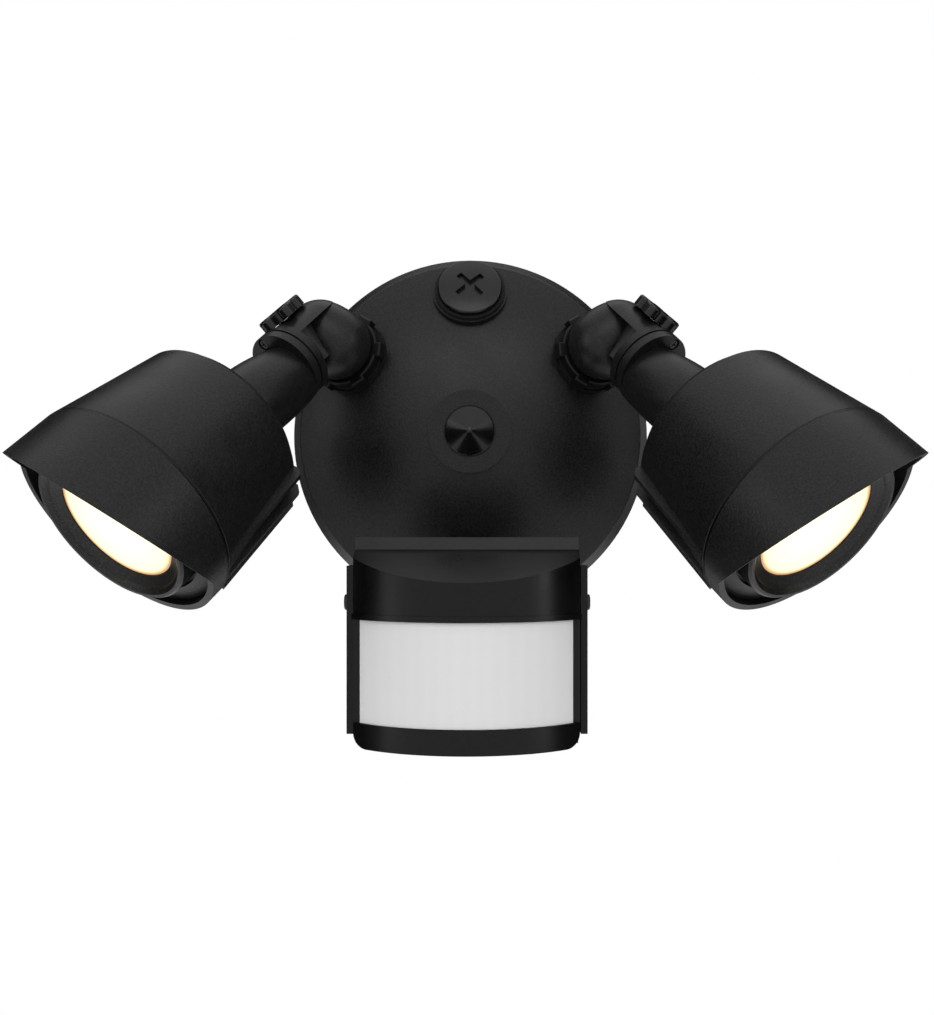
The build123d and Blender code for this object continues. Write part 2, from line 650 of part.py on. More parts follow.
# ================================================================ driver
def make_driver_box():
    screw_places = ((-DRIVER_SCREW_X, DRIVER_MID_Z), (DRIVER_SCREW_X, DRIVER_MID_Z))
    with BuildPart() as box:
        with BuildSketch(DRIVER_PLANE):
            with Locations((0, DRIVER_MID_Z)):
                RectangleRounded(DRIVER_LENGTH, DRIVER_WIDTH, DRIVER_CORNER)
        extrude(amount=-DRIVER_THICKNESS)
        with BuildSketch(DRIVER_PLANE):
            with Locations((0, DRIVER_MID_Z)):
                SlotOverall(DRIVER_LENGTH + 2 * DRIVER_EAR, 2 * DRIVER_EAR)
        extrude(amount=-DRIVER_EAR_THICKNESS)
        with BuildSketch(DRIVER_PLANE):
            with Locations(*screw_places):
                Circle(SMALL_SCREW_RADIUS + SLIP_FIT)
        extrude(amount=-DRIVER_EAR_THICKNESS, mode=Mode.SUBTRACT)
    return box.part


def make_driver_screws():
    length = DRIVER_EAR_THICKNESS + DRIVER_SCREW_DEPTH - SLIP_FIT
    with BuildPart() as screws:
        for x in (-DRIVER_SCREW_X, DRIVER_SCREW_X):
            seat = backing(DRIVER_FRONT_Y + DRIVER_EAR_THICKNESS, x, DRIVER_MID_Z)
            add(pan_head_screw(seat, SMALL_SCREW_RADIUS, length, SMALL_HEAD_RADIUS, SMALL_HEAD_HEIGHT))
    return screws.part


# ================================================================ port gaskets and locknuts
def make_port_gasket(port):
    return ring(port, PORT_GASKET_RADIUS, THREAD_BORE, PORT_BOSS_RISE, PORT_SEAT)


def make_locknut(port):
    with BuildPart() as nut:
        with BuildSketch(port.offset(PORT_SEAT)):
            Circle(LOCKNUT_RADIUS)
            with PolarLocations(0, LOCKNUT_LUGS):
                with Locations((LOCKNUT_LUG_RADIUS / 2, 0)):
                    Rectangle(LOCKNUT_LUG_RADIUS, LOCKNUT_LUG_WIDTH)
        extrude(amount=LOCKNUT_THICKNESS)
        chamfer(nut.faces().sort_by(axis_of(port))[-1].edges(), LOCKNUT_CHAMFER)
        with BuildSketch(port.offset(PORT_SEAT)):
            Circle(THREAD_BORE)
        extrude(amount=LOCKNUT_THICKNESS, mode=Mode.SUBTRACT)
    return nut.part


# ================================================================ lamp arm (right-hand side)
def make_elbow():
    halfway = BALL_RADIUS * sqrt(0.5)
    trim_radius = 4 * BALL_RADIUS
    with BuildPart() as elbow:
        with BuildSketch(section_of(ARM)):
            with BuildLine():
                Line((0, -BALL_RADIUS), (0, HINGE_FACE))
                Line((0, HINGE_FACE), (HINGE_FACE_RADIUS, HINGE_FACE))
                ThreePointArc(
                    (HINGE_FACE_RADIUS, HINGE_FACE), (HINGE_SHOULDER, HINGE_FACE / 2), (BALL_RADIUS, 0)
                )
                ThreePointArc((BALL_RADIUS, 0), (halfway, -halfway), (0, -BALL_RADIUS))
            make_face()
        revolve(axis=axis_of(ARM))
        with BuildSketch(HINGE.offset(HINGE_FACE - HINGE_LUG_DEPTH)):
            Circle(HINGE_LUG_RADIUS)
        extrude(amount=HINGE_LUG_DEPTH)
        # the ball ends above the locknut, and a threaded shank goes on into the port
        with BuildSketch(RIGHT_PORT.offset(COLLAR_RISE)):
            Circle(trim_radius)
        extrude(amount=-trim_radius, mode=Mode.SUBTRACT)
        with BuildSketch(RIGHT_PORT.offset(-THREAD_REACH)):
            Circle(THREAD_RADIUS)
        extrude(amount=THREAD_REACH + COLLAR_RISE + THREAD_ROOT)
        with BuildSketch(RIGHT_PORT.offset(-THREAD_REACH)):
            Circle(WIRE_BORE_RADIUS)
        extrude(amount=THREAD_REACH + BALL_RISE, mode=Mode.SUBTRACT)
        with BuildSketch(HINGE.offset(HINGE_FACE)):
            Circle(HINGE_BOLT_RADIUS + RUN_FIT)
        extrude(amount=-HINGE_BOLT_DEPTH, mode=Mode.SUBTRACT)
    return elbow.part


def make_knuckle():
    with BuildPart() as knuckle:
        with BuildSketch(section_of(BARREL)):
            with BuildLine():
                Line((0, BARREL_END - BARREL_RADIUS), (0, FLANGE_START))
                Line((0, FLANGE_START), (BARREL_RADIUS, FLANGE_START))
                Line((BARREL_RADIUS, FLANGE_START), (BARREL_RADIUS, BARREL_END))
                RadiusArc((BARREL_RADIUS, BARREL_END), (0, BARREL_END - BARREL_RADIUS), BARREL_RADIUS)
            make_face()
        revolve(axis=axis_of(BARREL))
        split(bisect_by=ARM.offset(KNUCKLE_BASE), keep=Keep.TOP)
        with BuildSketch(BARREL.offset(FLANGE_START)):
            Circle(FLANGE_RADIUS)
        extrude(amount=FLANGE_THICKNESS)
        with BuildSketch(HINGE.offset(KNOB_SEAT)):
            Circle(KNOB_SEAT_RADIUS)
        extrude(amount=BARREL_RADIUS, mode=Mode.SUBTRACT)
        with BuildSketch(HINGE.offset(HINGE_FACE)):
            Circle(HINGE_BOLT_RADIUS + RUN_FIT)
        extrude(amount=BARREL_RADIUS, mode=Mode.SUBTRACT)
        with BuildSketch(BARREL.offset(FLANGE_START)):
            Circle(NECK_BORE_RADIUS)
            with Locations((FLANGE_SCREW_OFFSET, 0)):
                Circle(FLANGE_SCREW_RADIUS + RUN_FIT)
        extrude(amount=FLANGE_THICKNESS, mode=Mode.SUBTRACT)
    return knuckle.part


def make_hinge_bolt():
    top = KNOB_BASE + KNOB_THICKNESS - KNOB_ROOF - SLIP_FIT
    bottom = HINGE_FACE - HINGE_BOLT_DEPTH + SWING_GAP
    with BuildPart() as bolt:
        with BuildSketch(HINGE.offset(bottom)):
            Circle(HINGE_BOLT_RADIUS)
        extrude(amount=top - bottom)
        with BuildSketch(HINGE.offset(KNOB_BASE)):
            RegularPolygon(BOLT_HEX_RADIUS, 6)
        extrude(amount=top - KNOB_BASE)
    return bolt.part


def make_star_knob():
    with BuildPart() as knob:
        with BuildSketch(HINGE.offset(KNOB_BASE)):
            Circle(KNOB_HUB_RADIUS)
            with PolarLocations(KNOB_LOBE_CIRCLE, KNOB_LOBES, start_angle=KNOB_TURN):
                Circle(KNOB_LOBE_RADIUS)
        extrude(amount=KNOB_THICKNESS)
        fillet(knob.faces().sort_by(axis_of(HINGE))[-1].edges(), KNOB_FILLET)
        with BuildSketch(HINGE.offset(KNOB_BASE)):
            RegularPolygon(BOLT_HEX_RADIUS + RUN_FIT, 6)
        extrude(amount=KNOB_THICKNESS - KNOB_ROOF, mode=Mode.SUBTRACT)
    return knob.part


def make_flange_seal():
    with BuildPart() as seal:
        with BuildSketch(BARREL.offset(FLANGE_FACE)):
            Circle(SEAL_RADIUS)
            Circle(SEAL_INNER, mode=Mode.SUBTRACT)
            with Locations((FLANGE_SCREW_OFFSET, 0)):
                Circle(FLANGE_SCREW_RADIUS + SLIP_FIT, mode=Mode.SUBTRACT)
        extrude(amount=SEAL_THICKNESS)
    return seal.part


def make_neck():
    spigot_end = HEAD_BACK + HEAD_WALL + NECK_NUT_THICKNESS
    with BuildPart() as neck:
        with BuildSketch(BARREL.offset(NECK_BASE - LOFT_OVERLAP)):
            with Locations((-NECK_ROOT_DROP, 0)):
                Circle(NECK_ROOT_RADIUS)
        with BuildSketch(BARREL.offset(NECK_BASE + NECK_BULGE_AT)):
            with Locations((-NECK_MID_DROP, 0)):
                Circle(NECK_MID_RADIUS)
        with BuildSketch(BARREL.offset(HEAD_BACK)):
            Circle(NECK_END_RADIUS)
        loft()
        with BuildSketch(BARREL.offset(NECK_START)):
            Circle(FLANGE_RADIUS)
        extrude(amount=FLANGE_THICKNESS)
        with BuildSketch(BARREL.offset(HEAD_BACK - LOFT_OVERLAP)):
            Circle(NECK_SPIGOT_RADIUS)
        extrude(amount=spigot_end - HEAD_BACK + LOFT_OVERLAP)
        with BuildSketch(BARREL.offset(NECK_START)):
            Circle(NECK_BORE_RADIUS)
        extrude(amount=spigot_end - NECK_START, mode=Mode.SUBTRACT)
        with BuildSketch(BARREL.offset(NECK_START)):
            with Locations((FLANGE_SCREW_OFFSET, 0)):
                Circle(FLANGE_SCREW_RADIUS + RUN_FIT)
        extrude(amount=FLANGE_THICKNESS, mode=Mode.SUBTRACT)
        with BuildSketch(BARREL.offset(NECK_BASE - FLANGE_SCREW_SINK)):
            with Locations((FLANGE_SCREW_OFFSET, 0)):
                Circle(FLANGE_SCREW_HEAD + SLIP_FIT)
        extrude(amount=FLANGE_SCREW_SINK, mode=Mode.SUBTRACT)
    return neck.part


def make_flange_screw():
    seat = shifted(BARREL, x=FLANGE_SCREW_OFFSET, z=NECK_BASE - FLANGE_SCREW_SINK)
    length = 2 * FLANGE_THICKNESS - FLANGE_SCREW_SINK + SEAL_THICKNESS - SLIP_FIT
    return pan_head_screw(
        seat, FLANGE_SCREW_RADIUS, length, FLANGE_SCREW_HEAD, FLANGE_SCREW_HEAD_HEIGHT
    )


def make_neck_nut():
    with BuildPart() as nut:
        with BuildSketch(HEAD.offset(HEAD_WALL)):
            RegularPolygon(NECK_NUT_RADIUS, 6)
            Circle(NECK_SPIGOT_RADIUS + RUN_FIT, mode=Mode.SUBTRACT)
        extrude(amount=NECK_NUT_THICKNESS)
    return nut.part


# ================================================================ lamp head (right-hand side)
def make_cooling_fins():
    """Fins on the half away from the visor, trimmed by a steeper cone than the housing."""
    root = HEAD_BACK_RADIUS - HEAD_WALL + FIN_ROOT_DEPTH
    length = FIN_SEAM_RADIUS - root
    fin_end = SEAM - FIN_SEAM_GAP
    outline = [
        (0, HEAD_BACK_CHAMFER),
        (FIN_BACK_RADIUS - FIN_END_CHAMFER, HEAD_BACK_CHAMFER),
        (FIN_BACK_RADIUS, HEAD_BACK_CHAMFER + FIN_END_CHAMFER),
        (FIN_SEAM_RADIUS, fin_end),
        (0, fin_end),
    ]
    trim = turned(HEAD, outline)
    with BuildPart() as fins:
        with BuildSketch(HEAD.offset(HEAD_BACK_CHAMFER)):
            for number in range(FIN_COUNT):
                turn = 270 + FIN_ARC * (number / (FIN_COUNT - 1) - 0.5)
                with PolarLocations(root + length / 2, 1, start_angle=turn):
                    Rectangle(length, FIN_THICKNESS)
        extrude(amount=fin_end - HEAD_BACK_CHAMFER)
        add(trim, mode=Mode.INTERSECT)
    return fins.part


def make_head_housing():
    back = HEAD_BACK_RADIUS
    outer = [
        (0, 0),
        (back - HEAD_BACK_CHAMFER, 0),
        (back, HEAD_BACK_CHAMFER),
        (HEAD_SEAM_RADIUS, SEAM),
        (0, SEAM),
    ]
    hollow = [
        (0, HEAD_WALL),
        (back - HEAD_BACK_CHAMFER - HEAD_WALL / 2, HEAD_WALL),
        (back - HEAD_WALL, HEAD_BACK_CHAMFER + HEAD_WALL / 2),
        (HEAD_SEAM_RADIUS - HEAD_WALL, SEAM),
        (0, SEAM),
    ]
    ledge_outer = HEAD_SEAM_RADIUS - HEAD_WALL / 2 - HEAD_TAPER * (SEAM - LEDGE_BOTTOM)
    with BuildPart() as housing:
        add(turned(HEAD, outer))
        add(make_cooling_fins())
        add(turned(HEAD, hollow), mode=Mode.SUBTRACT)
        with BuildSketch(HEAD):
            Circle(NECK_SPIGOT_RADIUS + RUN_FIT)
        extrude(amount=HEAD_WALL, mode=Mode.SUBTRACT)
        # ledge that carries the LED board and takes the bezel screws
        add(ring(HEAD, ledge_outer, LEDGE_INNER_RADIUS, LEDGE_BOTTOM, LEDGE_TOP))
        with BuildSketch(HEAD.offset(LEDGE_TOP)):
            with PolarLocations(BEZEL_SCREW_CIRCLE, BEZEL_SCREWS, start_angle=BEZEL_SCREW_TURN):
                Circle(SMALL_SCREW_RADIUS + RUN_FIT)
        extrude(amount=-LEDGE_THICKNESS, mode=Mode.SUBTRACT)
    return housing.part


def make_visor_opening():
    """What is cut from the shroud's tube: beyond the leaning rim and the visor's sloping edge."""
    reach = 2 * HEAD_SEAM_RADIUS
    fall = SHROUD_RIM_FALL / HEAD_SEAM_RADIUS
    climb = VISOR_REACH / HEAD_SEAM_RADIUS
    ceiling = RIM + 2 * VISOR_REACH
    with BuildPart() as opening:
        with BuildSketch(HEAD_SIDE):
            with BuildLine():
                Polyline(
                    (-reach, RIM - fall * reach),
                    (0, RIM),
                    (reach, RIM + climb * reach),
                    (reach, ceiling + VISOR_REACH),
                    (-reach, ceiling + VISOR_REACH),
                    close=True,
                )
            make_face()
        extrude(amount=reach, both=True)
    return opening.part


def make_visor_shroud():
    top = RIM + VISOR_REACH
    tube = [
        (SHROUD_BORE, SEAM),
        (HEAD_SEAM_RADIUS, SEAM),
        (HEAD_SEAM_RADIUS, top),
        (SHROUD_BORE, top),
    ]
    # spigot inside the housing's mouth, joined to the tube by a step
    spigot = [
        (SPIGOT_BORE, SEAM - SHROUD_SPIGOT_DEPTH),
        (SPIGOT_RADIUS, SEAM - SHROUD_SPIGOT_DEPTH),
        (SPIGOT_RADIUS, SEAM),
        (SHROUD_BORE + SHROUD_WALL / 2, SEAM),
        (SHROUD_BORE + SHROUD_WALL / 2, SPIGOT_TOP),
        (SPIGOT_BORE, SPIGOT_TOP),
    ]
    with BuildPart() as shroud:
        add(turned(HEAD, tube))
        add(turned(HEAD, spigot))
        add(make_visor_opening(), mode=Mode.SUBTRACT)
    return shroud.part


def make_bezel():
    shoulder = SPIGOT_TOP + SLIP_FIT
    rebate = LED_BOARD_RADIUS + SLIP_FIT
    lens_pocket = LENS_RADIUS + SLIP_FIT
    outline = [
        (rebate, LEDGE_TOP),
        (BEZEL_PLUG_RADIUS, LEDGE_TOP),
        (BEZEL_PLUG_RADIUS, shoulder),
        (BEZEL_RADIUS, shoulder),
        (BEZEL_RADIUS, SEAM + BEZEL_EDGE),
        (BEZEL_GROOVE_OUTER, SEAM + BEZEL_SLOPE_TOP),
        (BEZEL_GROOVE_OUTER, SEAM + BEZEL_GROOVE_FLOOR),
        (BEZEL_RING_OUTER, SEAM + BEZEL_GROOVE_FLOOR),
        (BEZEL_RING_OUTER, SEAM + BEZEL_RING_FRONT - BEZEL_RING_CHAMFER),
        (BEZEL_RING_OUTER - BEZEL_RING_CHAMFER, SEAM + BEZEL_RING_FRONT),
        (BEZEL_RING_LAND, SEAM + BEZEL_RING_FRONT),
        (BEZEL_STEP_OUTER, SEAM + BEZEL_STEP_TOP),
        (BEZEL_STEP_INNER, SEAM + BEZEL_STEP_BOTTOM),
        (BEZEL_OPENING_RADIUS, SEAM + BEZEL_LIP_FRONT),
        (BEZEL_OPENING_RADIUS, SEAM + BEZEL_LIP_BACK),
        (lens_pocket, SEAM + BEZEL_LIP_BACK),
        (lens_pocket, BOARD_FACE),
        (rebate, BOARD_FACE),
    ]
    with BuildPart() as bezel:
        add(turned(HEAD, outline))
        with BuildSketch(HEAD.offset(LEDGE_TOP)):
            with PolarLocations(BEZEL_SCREW_CIRCLE, BEZEL_SCREWS, start_angle=BEZEL_SCREW_TURN):
                Circle(SMALL_SCREW_RADIUS + RUN_FIT)
        extrude(amount=BEZEL_SCREW_DEPTH, mode=Mode.SUBTRACT)
    return bezel.part


def make_bezel_screws():
    length = LEDGE_THICKNESS + BEZEL_SCREW_DEPTH - SLIP_FIT
    underside = Plane(
        origin=HEAD.from_local_coords(Vector(0, 0, LEDGE_BOTTOM)), x_dir=HEAD.x_dir, z_dir=-HEAD.z_dir
    )
    with BuildPart() as screws:
        for number in range(BEZEL_SCREWS):
            turn = radians(BEZEL_SCREW_TURN + 360 * number / BEZEL_SCREWS)
            seat = shifted(underside, x=BEZEL_SCREW_CIRCLE * cos(turn), y=-BEZEL_SCREW_CIRCLE * sin(turn))
            add(pan_head_screw(seat, SMALL_SCREW_RADIUS, length, BEZEL_SCREW_HEAD, BEZEL_SCREW_HEAD_HEIGHT))
    return screws.part


def make_lens():
    window = BEZEL_OPENING_RADIUS - SLIP_FIT
    window_front = LENS_FRONT + LENS_CENTRE_RISE
    lens_back = LENS_FRONT - LENS_THICKNESS
    skirt_bore = LENS_RADIUS - LENS_SKIRT_WALL
    curve = (window**2 + LENS_CROWN**2) / (2 * LENS_CROWN)
    with BuildPart() as lens:
        with BuildSketch(section_of(HEAD)):
            with BuildLine():
                Polyline(
                    (0, window_front + LENS_CROWN),
                    (0, lens_back),
                    (skirt_bore, lens_back),
                    (skirt_bore, BOARD_FACE),
                    (LENS_RADIUS, BOARD_FACE),
                    (LENS_RADIUS, LENS_FRONT),
                    (window, LENS_FRONT),
                    (window, window_front),
                )
                RadiusArc((0, window_front + LENS_CROWN), (window, window_front), curve)
            make_face()
        revolve(axis=axis_of(HEAD))
    return lens.part


def make_led_board():
    with BuildPart() as board:
        with BuildSketch(HEAD.offset(LEDGE_TOP)):
            Circle(LED_BOARD_RADIUS)
        extrude(amount=LED_BOARD_THICKNESS)
        with BuildSketch(HEAD.offset(BOARD_FACE)):
            Rectangle(LED_SIZE, LED_SIZE)
            for count, radius in LED_RING_RADII.items():
                with PolarLocations(radius, count):
                    Rectangle(LED_SIZE, LED_SIZE)
        extrude(amount=LED_HEIGHT)
    return board.part


# ================================================================ motion sensor
def bow_plan(half_width, back_y, inset=0.0):
    """Plan of the sensor: straight back and sides, and one arc across the front, moved in by inset."""
    front = SENSOR_FRONT_Y + inset
    centre_y = SENSOR_FRONT_Y + FRONT_BOW_RADIUS
    side = centre_y - sqrt((FRONT_BOW_RADIUS - inset) ** 2 - half_width**2)
    with BuildSketch() as plan:
        with BuildLine():
            Polyline((half_width, side), (half_width, back_y), (-half_width, back_y), (-half_width, side))
            ThreePointArc((-half_width, side), (0, front), (half_width, side))
        make_face()
    return plan.sketch


def bowed_block(half_width, back_y, inset, bottom, top):
    """An upright block on the sensor's bowed plan."""
    with BuildPart() as block:
        with BuildSketch(level(bottom)):
            add(bow_plan(half_width, back_y, inset))
        extrude(amount=top - bottom)
    return block.part


def hood_roof(drop):
    """Everything under the hood's roof, lowered by drop: level, a brow, then a slope to the front."""
    brow_y = SENSOR_SPLIT_Y - HOOD_BROW_DEPTH
    brow_z = SENSOR_TOP_Z - HOOD_BROW_DROP - drop
    front_y = SENSOR_FRONT_Y - HOOD_OVERRUN
    front_z = brow_z - HOOD_SLOPE * (brow_y - front_y)
    with BuildPart() as roof:
        with BuildSketch(SENSOR_SIDE):
            with BuildLine():
                Polyline(
                    (SENSOR_SPLIT_Y, SENSOR_LENS_TOP_Z),
                    (SENSOR_SPLIT_Y, SENSOR_TOP_Z - drop),
                    (SENSOR_SPLIT_Y - HOOD_BROW_START, SENSOR_TOP_Z - drop),
                    (brow_y, brow_z),
                    (front_y, front_z),
                    (front_y, SENSOR_LENS_TOP_Z),
                    close=True,
                )
            make_face()
        extrude(amount=SENSOR_HALF_WIDTH, both=True)
    return roof.part


def hood_block(inset):
    """The hood's outer block, or with an inset the hollow inside it."""
    half_width = SENSOR_HALF_WIDTH - inset
    roof = hood_roof(inset)
    with BuildPart() as block:
        add(bowed_block(half_width, SENSOR_SPLIT_Y, inset, SENSOR_LENS_TOP_Z, SENSOR_TOP_Z))
        add(roof, mode=Mode.INTERSECT)
    return block.part


def make_sensor_hood():
    bottom = SENSOR_LENS_TOP_Z
    lip_top = bottom + HOOD_LIP_HEIGHT
    lip_width = SENSOR_HALF_WIDTH + HOOD_LIP_PROUD
    hollow_width = SENSOR_HALF_WIDTH - SENSOR_WALL
    with BuildPart() as hood:
        add(hood_block(0))
        add(bowed_block(lip_width, SENSOR_SPLIT_Y, -HOOD_LIP_PROUD, bottom, lip_top))
        add(hood_block(SENSOR_WALL), mode=Mode.SUBTRACT)
        hollow = bowed_block(hollow_width, SENSOR_SPLIT_Y, SENSOR_WALL, bottom, lip_top)
        add(hollow, mode=Mode.SUBTRACT)
    return hood.part


def make_sensor_front_frame():
    wall = SENSOR_WALL
    width = SENSOR_HALF_WIDTH
    sill = SENSOR_LENS_BOTTOM_Z
    strip_x = width - LENS_SIDE_STRIP / 2
    strip_y = (SENSOR_SPLIT_Y + SENSOR_SIDE_Y) / 2
    boss_top = sill - SLIP_FIT
    boss_bottom = SENSOR_FLOOR_Z - wall / 2
    boss_mid = (boss_top + boss_bottom) / 2
    with BuildPart() as frame:
        # pan under the lens
        add(bowed_block(width, SENSOR_SPLIT_Y, 0, SENSOR_BOTTOM_Z, sill))
        bottom_edges = frame.faces().sort_by(Axis.Z)[0].edges()
        fillet(bottom_edges.filter_by(Axis.Y), BASE_SIDE_ROUND)
        add(bowed_block(width - wall, SENSOR_SPLIT_Y, wall, SENSOR_FLOOR_Z, sill), mode=Mode.SUBTRACT)
        # strips beside the lens
        for side in (-1, 1):
            with BuildSketch(level(sill - wall)):
                with Locations((strip_x * side, strip_y)):
                    Rectangle(LENS_SIDE_STRIP, SENSOR_SPLIT_Y - SENSOR_SIDE_Y)
            extrude(amount=SENSOR_LENS_TOP_Z - sill + wall)
        # dial bores
        with BuildSketch(level(SENSOR_BOTTOM_Z)):
            with Locations(*[(x, DIAL_Y) for x in DIAL_PLACES]):
                Circle(DIAL_RADIUS + RUN_FIT)
        extrude(amount=wall, mode=Mode.SUBTRACT)
        # bosses for the case screws
        for x in (-CASE_SCREW_X, CASE_SCREW_X):
            with BuildSketch(facing(SENSOR_SPLIT_Y)):
                with Locations((x, boss_mid)):
                    Rectangle(CASE_BOSS_WIDTH, boss_top - boss_bottom)
            extrude(amount=CASE_BOSS_LENGTH)
            with BuildSketch(facing(SENSOR_SPLIT_Y)):
                with Locations((x, CASE_SCREW_Z)):
                    Circle(SMALL_SCREW_RADIUS + RUN_FIT)
            extrude(amount=CASE_BOSS_LENGTH, mode=Mode.SUBTRACT)
    return frame.part


def make_sensor_fresnel_lens():
    outer = SENSOR_HALF_WIDTH - LENS_SIDE_STRIP - SLIP_FIT
    bottom = SENSOR_LENS_BOTTOM_Z + SLIP_FIT
    top = SENSOR_LENS_TOP_Z - SLIP_FIT
    back = SENSOR_SPLIT_Y - LENS_TUCK
    inner = outer - FRESNEL_THICKNESS
    with BuildPart() as lens:
        add(bowed_block(outer, back, LENS_INSET, bottom, top))
        add(bowed_block(inner, back, LENS_INSET + FRESNEL_THICKNESS, bottom, top), mode=Mode.SUBTRACT)
    return lens.part


def rear_block(inset):
    """The rear shell's outer block, or with an inset the hollow inside it."""
    top = SENSOR_TOP_Z - inset
    bottom = SENSOR_BOTTOM_Z + inset
    back = SENSOR_BACK_Y - inset
    with BuildPart() as block:
        with BuildSketch(SENSOR_SIDE):
            with BuildLine():
                Polyline(
                    (SENSOR_SPLIT_Y, top),
                    (back, top),
                    (back, SENSOR_BOTTOM_Z + REAR_CHAMFER_HEIGHT),
                    (SENSOR_BACK_Y - REAR_CHAMFER - inset / 2, bottom),
                    (SENSOR_SPLIT_Y, bottom),
                    close=True,
                )
            make_face()
        extrude(amount=SENSOR_HALF_WIDTH - inset, both=True)
    return block.part


def make_sensor_rear_shell():
    wall = SENSOR_WALL
    boss_reach = SENSOR_HALF_WIDTH - wall
    post_length = SENSOR_BACK_Y - wall - BOARD_Y - BOARD_THICKNESS
    with BuildPart() as shell:
        add(rear_block(0))
        fillet(shell.edges().filter_by(Axis.Z).sort_by(Axis.Y)[-2:], REAR_FILLET)
        add(rear_block(wall), mode=Mode.SUBTRACT)
        # pivot bosses inside the side walls
        for side in (-1, 1):
            with BuildSketch(pivot_plane(side, boss_reach)):
                Circle(PIVOT_RADIUS + PIVOT_BOSS_WALL)
            extrude(amount=-PIVOT_ENGAGE)
            with BuildSketch(pivot_plane(side, SENSOR_HALF_WIDTH)):
                Circle(PIVOT_BORE)
            extrude(amount=-(PIVOT_ENGAGE + wall), mode=Mode.SUBTRACT)
        # posts that carry the board
        for x, z in BOARD_POST_PLACES:
            with BuildSketch(facing(SENSOR_BACK_Y - wall, x, z)):
                Circle(BOARD_POST_RADIUS)
            extrude(amount=post_length)
            with BuildSketch(facing(SENSOR_BACK_Y - wall - post_length, x, z)):
                Circle(SMALL_SCREW_RADIUS + RUN_FIT)
            extrude(amount=-BOARD_SCREW_DEPTH, mode=Mode.SUBTRACT)
        # tunnels for the case screws
        for x in (-CASE_SCREW_X, CASE_SCREW_X):
            with BuildSketch(facing(SENSOR_SPLIT_Y, x, CASE_SCREW_Z)):
                Rectangle(CASE_BOSS_WIDTH, CASE_TUNNEL_HEIGHT)
            extrude(amount=-CASE_TUNNEL_LENGTH)
            with BuildSketch(facing(SENSOR_SPLIT_Y, x, CASE_SCREW_Z)):
                Circle(SMALL_SCREW_RADIUS + SLIP_FIT)
            extrude(amount=-CASE_TUNNEL_LENGTH, mode=Mode.SUBTRACT)
            with BuildSketch(facing(SENSOR_SPLIT_Y + CASE_TUNNEL_LENGTH, x, CASE_SCREW_Z)):
                Circle(SMALL_HEAD_RADIUS + SLIP_FIT)
            extrude(amount=-CASE_TUNNEL_LENGTH, mode=Mode.SUBTRACT)
    return shell.part


def make_sensor_screws():
    case_length = CASE_TUNNEL_LENGTH + CASE_BOSS_LENGTH - SLIP_FIT
    board_length = BOARD_THICKNESS + BOARD_SCREW_DEPTH - SLIP_FIT
    head = (SMALL_HEAD_RADIUS, SMALL_HEAD_HEIGHT)
    with BuildPart() as screws:
        for x in (-CASE_SCREW_X, CASE_SCREW_X):
            seat = backing(SENSOR_SPLIT_Y + CASE_TUNNEL_LENGTH, x, CASE_SCREW_Z)
            add(pan_head_screw(seat, SMALL_SCREW_RADIUS, case_length, *head))
        for x, z in BOARD_POST_PLACES:
            seat = facing(BOARD_Y, x, z)
            add(pan_head_screw(seat, SMALL_SCREW_RADIUS, board_length, *head))
    return screws.part


def make_sensor_board():
    mid_z = (BOARD_TOP_Z + BOARD_BOTTOM_Z) / 2
    front = facing(BOARD_Y)
    with BuildPart() as board:
        with BuildSketch(facing(BOARD_Y, 0, mid_z)):
            Rectangle(2 * BOARD_HALF_WIDTH, BOARD_TOP_Z - BOARD_BOTTOM_Z)
        extrude(amount=-BOARD_THICKNESS)
        with BuildSketch(front):
            for x, z, length, width in BOARD_CHIPS:
                with Locations((x, PIR_Z + z)):
                    Rectangle(length, width)
        extrude(amount=BOARD_CHIP_HEIGHT)
        with BuildSketch(front):
            with Locations(*BOARD_POST_PLACES):
                Circle(SMALL_SCREW_RADIUS + SLIP_FIT)
        extrude(amount=-BOARD_THICKNESS, mode=Mode.SUBTRACT)
    return board.part


def make_pir_detector():
    base = facing(BOARD_Y, 0, PIR_Z)
    with BuildPart() as can:
        with BuildSketch(base):
            Circle(PIR_RADIUS)
        extrude(amount=PIR_FLANGE)
        with BuildSketch(base):
            Circle(PIR_RADIUS - PIR_FLANGE_STEP)
        extrude(amount=PIR_HEIGHT)
        with BuildSketch(base.offset(PIR_HEIGHT)):
            Rectangle(PIR_WINDOW_LENGTH, PIR_WINDOW_WIDTH)
        extrude(amount=-PIR_WINDOW_DEPTH, mode=Mode.SUBTRACT)
    return can.part


def make_dial(x):
    """An adjuster in the sensor's floor: it looks down and its brim rests on the floor."""
    face = Plane(origin=(x, DIAL_Y, SENSOR_BOTTOM_Z - DIAL_PROUD), x_dir=(1, 0, 0), z_dir=(0, 0, -1))
    brim = face.offset(-(DIAL_PROUD + SENSOR_WALL))
    with BuildPart() as dial:
        with BuildSketch(face):
            Circle(DIAL_RADIUS)
        extrude(amount=-(DIAL_PROUD + SENSOR_WALL))
        with BuildSketch(brim):
            Circle(DIAL_RADIUS + DIAL_BRIM)
        extrude(amount=-DIAL_BRIM_THICKNESS)
        with BuildSketch(face):
            Rectangle(2 * (DIAL_RADIUS - DIAL_SLOT_MARGIN), DIAL_SLOT_WIDTH)
        extrude(amount=-DIAL_SLOT_DEPTH, mode=Mode.SUBTRACT)
        chamfer(dial.faces().sort_by(Axis.Z)[0].outer_wire().edges(), DIAL_CHAMFER)
    return dial.part


